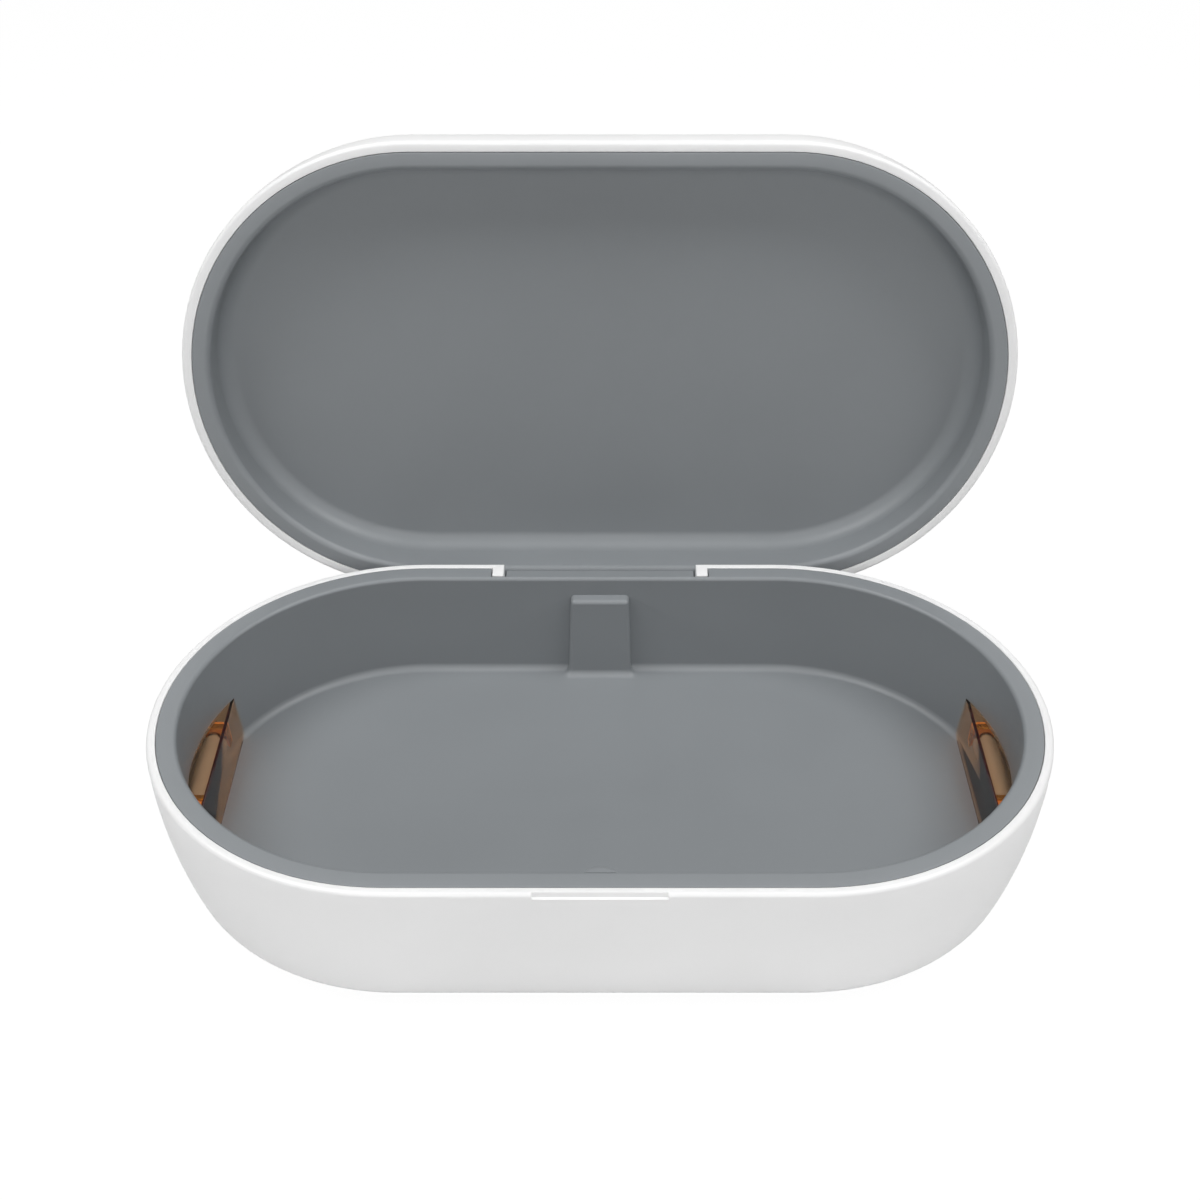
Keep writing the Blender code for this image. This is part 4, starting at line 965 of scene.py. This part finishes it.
class UVBOX_OT_power_button(bpy.types.Operator):
    """The grey power button in the back wall, with its flange and stem"""

    bl_idname = "uvbox.power_button"
    bl_label = "Power Button"

    def execute(self, context):
        back = settings("back")
        z, low, face = button_height(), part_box("power_button")[0][1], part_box("power_button")[1][1]
        x, width, height, flange = back.button_x, back.button_width, back.button_height, back_wall(z) - 4.5 * MM
        cap = pill("button_cap", x, z, width, height, flange, face, 0.35 * MM)
        keeper = pill("keeper", x, z, width + MM, height + MM, flange - MM, flange + 0.2 * MM, 0.2 * MM)
        stem = rod("stem", (x, low, z), (x, flange - 0.5 * MM, z), 1.1 * MM)
        combine(cap, "UNION", keeper, stem)
        hand_over(cap, "button", "button_cap", grey_abs(), nodes=["power_button"])
        return {"FINISHED"}


class UVBOX_OT_usb_c_socket(bpy.types.Operator):
    """The nickel socket in the back wall, its tongue and the row of contacts on it"""

    bl_idname = "uvbox.usb_c_socket"
    bl_label = "USB-C Socket"

    def execute(self, context):
        back = settings("back")
        z, low, high = socket_height(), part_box("usb_c_socket")[0][1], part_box("usb_c_socket")[1][1]
        x, width, height, wall = back.socket_x, back.socket_width, back.socket_height, 0.3 * MM
        tube = pill("socket_tube", x, z, width, height, low, high, 0.1 * MM)
        hollow = pill("hollow", x, z, width - 2 * wall, height - 2 * wall, low + 0.6 * MM, high + MM)
        combine(tube, "DIFFERENCE", hollow)
        hand_over(tube, "base", "socket_metal", nickel_shell(), nodes=["usb_c_socket"])
        half, thick = 3.35 * MM, 0.35 * MM
        corner, opposite = (x - half, low + wall, z - thick), (x + half, low + 4.5 * MM, z + thick)
        tongue = block("socket_tongue", corner, opposite, 0.12 * MM)
        hand_over(tongue, "base", "black_plastic", black_nylon())
        corner, opposite = (x - 2.9 * MM, low + 1.5 * MM, z + 0.3 * MM), (x - 2.65 * MM, low + 4.1 * MM, z + 0.4 * MM)
        first = block("socket_contacts", corner, opposite, 0.03 * MM, 2)
        bpy.ops.object.modifier_add(type="ARRAY")
        row = adjust(first.modifiers[-1], count=12, use_relative_offset=False, use_constant_offset=True)
        row.constant_offset_displace = (0.5 * MM, 0, 0)
        bpy.ops.object.modifier_apply(modifier=row.name)
        hand_over(first, "base", "socket_metal", gold_contact())
        return {"FINISHED"}


class UVBOX_OT_lamp_covers(bpy.types.Operator):
    """The amber cover over each lamp: a straight face and a flat top, the round wall behind left open"""

    bl_idname = "uvbox.lamp_covers"
    bl_label = "Lamp Covers"

    def execute(self, context):
        for name, sign in SIDES:
            self.cover(name, sign)
        return {"FINISHED"}

    def cover(self, name, sign):
        plan, cavity, lamp = settings("plan"), settings("cavity"), settings("lamp")
        floor = RIM_TOP - cavity.depth
        gap = 0.05 * MM
        radius, foot = cavity.radius - cavity.draft - gap, floor + gap
        top = floor + lamp.cover_height
        x = sign * plan.straight_half
        cover = rod(f"{name}_amber_cover", (x, 0, foot), (x, 0, top), radius, 256)
        bpy.ops.object.mode_set(mode="EDIT")
        pick(cover, "EDGE", lambda e: max(v.co.z for v in e.verts) < foot + MM / 10)
        bevel(cavity.fillet - gap, 8)
        bpy.ops.mesh.select_all(action="SELECT")
        slope = lamp.cover_lean / lamp.cover_height
        bpy.ops.mesh.bisect(
            plane_co=(sign * lamp.cover_face, 0, floor),
            plane_no=(-sign, 0, slope),
            clear_outer=True,
            use_fill=True,
        )
        tidy_faces()
        inside = sign * (lamp.cover_face + lamp.cover_wall)
        far = sign * (plan.straight_half + plan.rim_radius)
        hollow = block("hollow", (inside, -radius, floor), (far, radius, top - lamp.cover_wall))
        bpy.ops.object.mode_set(mode="EDIT")
        pick(hollow, "VERT", lambda v: abs(v.co.x - inside) < MM and v.co.z > foot + MM)
        bpy.ops.transform.translate(value=(sign * slope * (lamp.cover_height - lamp.cover_wall), 0, 0))
        tidy_faces()
        combine(cover, "DIFFERENCE", hollow)
        soften(cover, (-1, -1, top - MM / 20), (1, 1, 1), 0.15 * MM)
        hand_over(cover, "base", "amber_cover", amber_plastic(), nodes=[f"{name}_lamp_cover"])


class UVBOX_OT_lamps(bpy.types.Operator):
    """The lamp tubes with their electrodes, and the two holders and spring contacts of each"""

    bl_idname = "uvbox.lamps"
    bl_label = "Lamps"

    def execute(self, context):
        lamp = settings("lamp")
        height = RIM_TOP - settings("cavity").depth + lamp.axis_height
        tube, electrode, cap, holder = firsts = self.tube(), self.electrode(), self.cap(), self.holder()
        for name, sign in SIDES:
            centre = Vector((sign * lamp.axis_x, lamp.shift, height))
            glass = copy_of(tube, f"{name}_quartz_tube", centre)
            hand_over(glass, "base", "lamp_glass", quartz(), nodes=[f"{name}_lamp_tube"])
            for end_name, end in ENDS:
                cup = copy_of(electrode, f"{name}_electrode_{end_name}", centre, end)
                hand_over(cup, "base", "steel", nickel_shell())
                sleeve = copy_of(cap, f"{name}_lamp_cap_{end_name}", centre, end)
                hand_over(sleeve, "base", "steel", nickel_shell())
                held = copy_of(holder, f"{name}_moulded_holder_{end_name}", centre, end)
                hand_over(held, "base", "lamp_holder", holder_nylon(), nodes=[f"{name}_lamp_holder_{end_name}"])
                near = centre + Vector((0, end * (lamp.half_length + PLAY), 0))
                self.contact(f"{name}_spring_contact_{end_name}", sign, end, near)
        for first in firsts:
            bpy.data.objects.remove(first)
        return {"FINISHED"}

    def tube(self):
        """A closed glass tube along Y, its middle at the origin. The other pieces are made at its front end."""
        lamp = settings("lamp")
        half, radius, wall, inner = lamp.half_length, lamp.radius, 0.5 * MM, 0.8 * MM
        outer = rounded([(0, half), (radius - 1.0 * MM, half, 0.9 * MM), (radius, half - 2 * MM), (radius, 0)], 8)
        within = [(0, half - wall), *arc((radius - wall - inner, half - wall - inner), inner, 90, 0, 8)]
        tube, bore = (
            turn(name, side + [(r, -z) for r, z in reversed(side)], (0, 0, 0), (math.pi / 2, 0, 0), steps=48)
            for name, side in (("tube", outer[:-1]), ("bore", within))
        )
        return combine(tube, "DIFFERENCE", bore)

    def electrode(self):
        """A thin cup inside the tube's front end, open towards the middle."""
        outside = [(0.5 * MM, 0), (1.2 * MM, 0.4 * MM), (1.3 * MM, 3.2 * MM)]
        profile = outside + [(1.15 * MM, 3.2 * MM), (1.05 * MM, 0.5 * MM), (0.5 * MM, 0.2 * MM)]
        y = 1.5 * MM - settings("lamp").half_length
        return turn("electrode", profile, (0, y, 0), (-math.pi / 2, 0, 0), closed=True, steps=32)

    def cap(self):
        """A metal cap on the tube's front end."""
        side = [(1.4 * MM, 2 * MM, 0.2 * MM), (1.4 * MM, 0.1 * MM, 0.05 * MM)]
        profile = rounded([(0, 2 * MM), *side, (0, 0.1 * MM)])
        return turn("cap", profile, (0, -settings("lamp").half_length, 0), (math.pi / 2, 0, 0), steps=32)

    def holder(self):
        """A block before the tube's front end, bored for its cap."""
        lamp = settings("lamp")
        near, half_x, half_z = -lamp.half_length - PLAY, lamp.holder_width / 2, lamp.holder_height / 2
        far = (half_x, near - lamp.holder_thickness, half_z)
        holder = block("holder", (-half_x, near, -half_z), far, 0.4 * MM)
        start, stop = (0, near + OVERSHOOT, 0), (0, -lamp.half_length - 2.3 * MM, 0)
        return combine(holder, "DIFFERENCE", rod("socket", start, stop, 1.7 * MM))

    def contact(self, name, sign, end, place):
        """An L of brass strip: up the holder's inner edge and along its top, on the face towards the tube."""
        lamp = settings("lamp")
        half_x, half_z, strip, edge = lamp.holder_width / 2, lamp.holder_height / 2, 0.25 * MM, 0.08 * MM
        front, rear = place.y - end * strip, place.y + end * 1.6 * MM
        near, side, far = (place.x + sign * reach for reach in (-half_x - strip, -half_x, half_x))
        top, step = place.z + half_z + strip, place.z + half_z
        upright = block(name, (near, front, place.z - half_z + 0.4 * MM), (side, rear, top), edge, 2)
        combine(upright, "UNION", block("bar", (near, front, step), (far, rear, top), edge, 2))
        hand_over(upright, "base", "steel", gold_contact())


CARRIED_OVER = {
    solder_mask: ("main_board",),
    black_nylon: ("power_switch", "lamp_transformer", "lid_sensor"),
    nickel_shell: ("lid_magnet", "smoothing_capacitor"),
    zinc_steel: (
        *(f"board_screw_{x}" for x, _ in SIDES),
        *(f"cover_screw_{y}_{x}" for y, _ in ENDS for x, _ in SIDES),
    ),
}


class UVBOX_OT_inside_parts(bpy.types.Operator):
    """The materials of what the closed box hides: board, switch, transformer, screws, sensor and magnet"""

    bl_idname = "uvbox.inside_parts"
    bl_label = "Inside Parts"

    def execute(self, context):
        for finish, names in CARRIED_OVER.items():
            for name in names:
                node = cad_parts[name]
                node.data.materials.clear()
                node.data.materials.append(finish())
        return {"FINISHED"}


class UVBOX_OT_stage(bpy.types.Operator):
    """A white floor and background, soft lamps, and the camera at the photograph's angle"""

    bl_idname = "uvbox.stage"
    bl_label = "Stage"

    def execute(self, context):
        self.floor()
        self.world()
        self.lamp("left_softbox", (-0.5, -0.1, 0.95), 5.4)
        self.lamp("right_softbox", (0.5, -0.1, 0.95), 5.5)
        self.lamp("front_softbox", (0, -1.0, 0.45), 2.8)
        camera = bpy.data.cameras.new("photo_camera")
        adjust(camera, lens=50.385, sensor_width=36, clip_start=0.01)
        eye = bpy.data.objects.new("photo_camera", camera)
        context.scene.collection.objects.link(eye)
        adjust(eye, location=(0, -0.3073, 0.2945), rotation_euler=(math.radians(54.18), 0, 0))
        context.scene.camera = eye
        context.scene.view_settings.view_transform = "Standard"
        return {"FINISHED"}

    def floor(self):
        bpy.ops.object.select_all(action="DESELECT")
        bpy.ops.mesh.primitive_plane_add(size=6)
        floor = adjust(bpy.context.object, name="studio_floor")
        made, tree, output, _ = start_material("white_studio_floor")
        matt = add_node(tree, "ShaderNodeBsdfDiffuse", {"Color": (0.86, 0.86, 0.86, 1)})
        glow = add_node(tree, "ShaderNodeEmission", {"Color": (1, 1, 1, 1), "Strength": 1.04})
        path = add_node(tree, "ShaderNodeLightPath")
        seen = add_node(tree, "ShaderNodeMath", {1: 0.93}, {0: path.outputs["Is Camera Ray"]}, operation="MULTIPLY")
        mix = add_node(
            tree,
            "ShaderNodeMixShader",
            links={"Fac": seen.outputs[0], 1: matt.outputs[0], 2: glow.outputs[0]},
        )
        tree.links.new(mix.outputs[0], output.inputs["Surface"])
        floor.data.materials.append(made)

    def world(self):
        world = bpy.data.worlds.new("white_studio")
        bpy.context.scene.world = world
        world.use_nodes = True
        tree = world.node_tree
        tree.nodes.clear()
        path = add_node(tree, "ShaderNodeLightPath")
        seen = path.outputs["Is Camera Ray"]
        for kind in ("Is Glossy Ray", "Is Transmission Ray"):
            links = {0: seen, 1: path.outputs[kind]}
            seen = add_node(tree, "ShaderNodeMath", links=links, operation="MAXIMUM").outputs[0]
        level = add_node(tree, "ShaderNodeMapRange", {"To Min": 0.12, "To Max": 1.0}, {"Value": seen})
        sky = add_node(tree, "ShaderNodeBackground", {"Color": (1, 1, 1, 1)}, {"Strength": level.outputs["Result"]})
        add_node(tree, "ShaderNodeOutputWorld", links={"Surface": sky.outputs[0]})

    def lamp(self, name, place, watts):
        """A round softbox 0.6 m across, turned to the middle of the box."""
        light = bpy.data.lights.new(name, "AREA")
        adjust(light, shape="DISK", size=0.6, energy=watts)
        obj = bpy.data.objects.new(name, light)
        bpy.context.scene.collection.objects.link(obj)
        toward = Vector((0, 0, 0.04)) - Vector(place)
        adjust(obj, location=place, rotation_euler=toward.to_track_quat("-Z", "Y").to_euler())


class UVBOX_PT_panel(bpy.types.Panel):
    """Sizes and pieces of the box"""

    bl_label = "UV Sanitizer Box"
    bl_space_type = "VIEW_3D"
    bl_region_type = "UI"
    bl_category = "UV Box"

    def draw(self, context):
        for title, name, group in GROUPS:
            part = self.layout.box()
            part.label(text=title)
            for key in group.__annotations__:
                part.prop(getattr(context.scene, f"uv_box_{name}"), key)
        for operator in OPERATORS:
            self.layout.operator(operator.bl_idname)


GROUPS = (
    ("Plan", "plan", UvBoxPlan),
    ("Base", "base", UvBoxBase),
    ("Cavity", "cavity", UvBoxCavity),
    ("Lid", "lid", UvBoxLid),
    ("Hinge", "hinge", UvBoxHinge),
    ("Lamps", "lamp", UvBoxLamp),
    ("Back", "back", UvBoxBack),
    ("Colours", "colours", UvBoxColours),
)

OPERATORS = (
    UVBOX_OT_stage,
    UVBOX_OT_base_shell,
    UVBOX_OT_base_liner,
    UVBOX_OT_bottom_cover,
    UVBOX_OT_feet,
    UVBOX_OT_lid_shell,
    UVBOX_OT_lid_liner,
    UVBOX_OT_hinge_pin,
    UVBOX_OT_power_button,
    UVBOX_OT_usb_c_socket,
    UVBOX_OT_lamp_covers,
    UVBOX_OT_lamps,
    UVBOX_OT_inside_parts,
)


def register():
    for _, name, group in GROUPS:
        bpy.utils.register_class(group)
        setattr(bpy.types.Scene, f"uv_box_{name}", PointerProperty(type=group))
    for operator in (*OPERATORS, UVBOX_PT_panel):
        bpy.utils.register_class(operator)


def unregister():
    for operator in reversed((*OPERATORS, UVBOX_PT_panel)):
        bpy.utils.unregister_class(operator)
    for _, name, group in reversed(GROUPS):
        delattr(bpy.types.Scene, f"uv_box_{name}")
        bpy.utils.unregister_class(group)


def main():
    register()
    for operator in OPERATORS:
        getattr(bpy.ops.uvbox, operator.bl_idname.split(".")[1])()


if __name__ == "__main__":
    main()
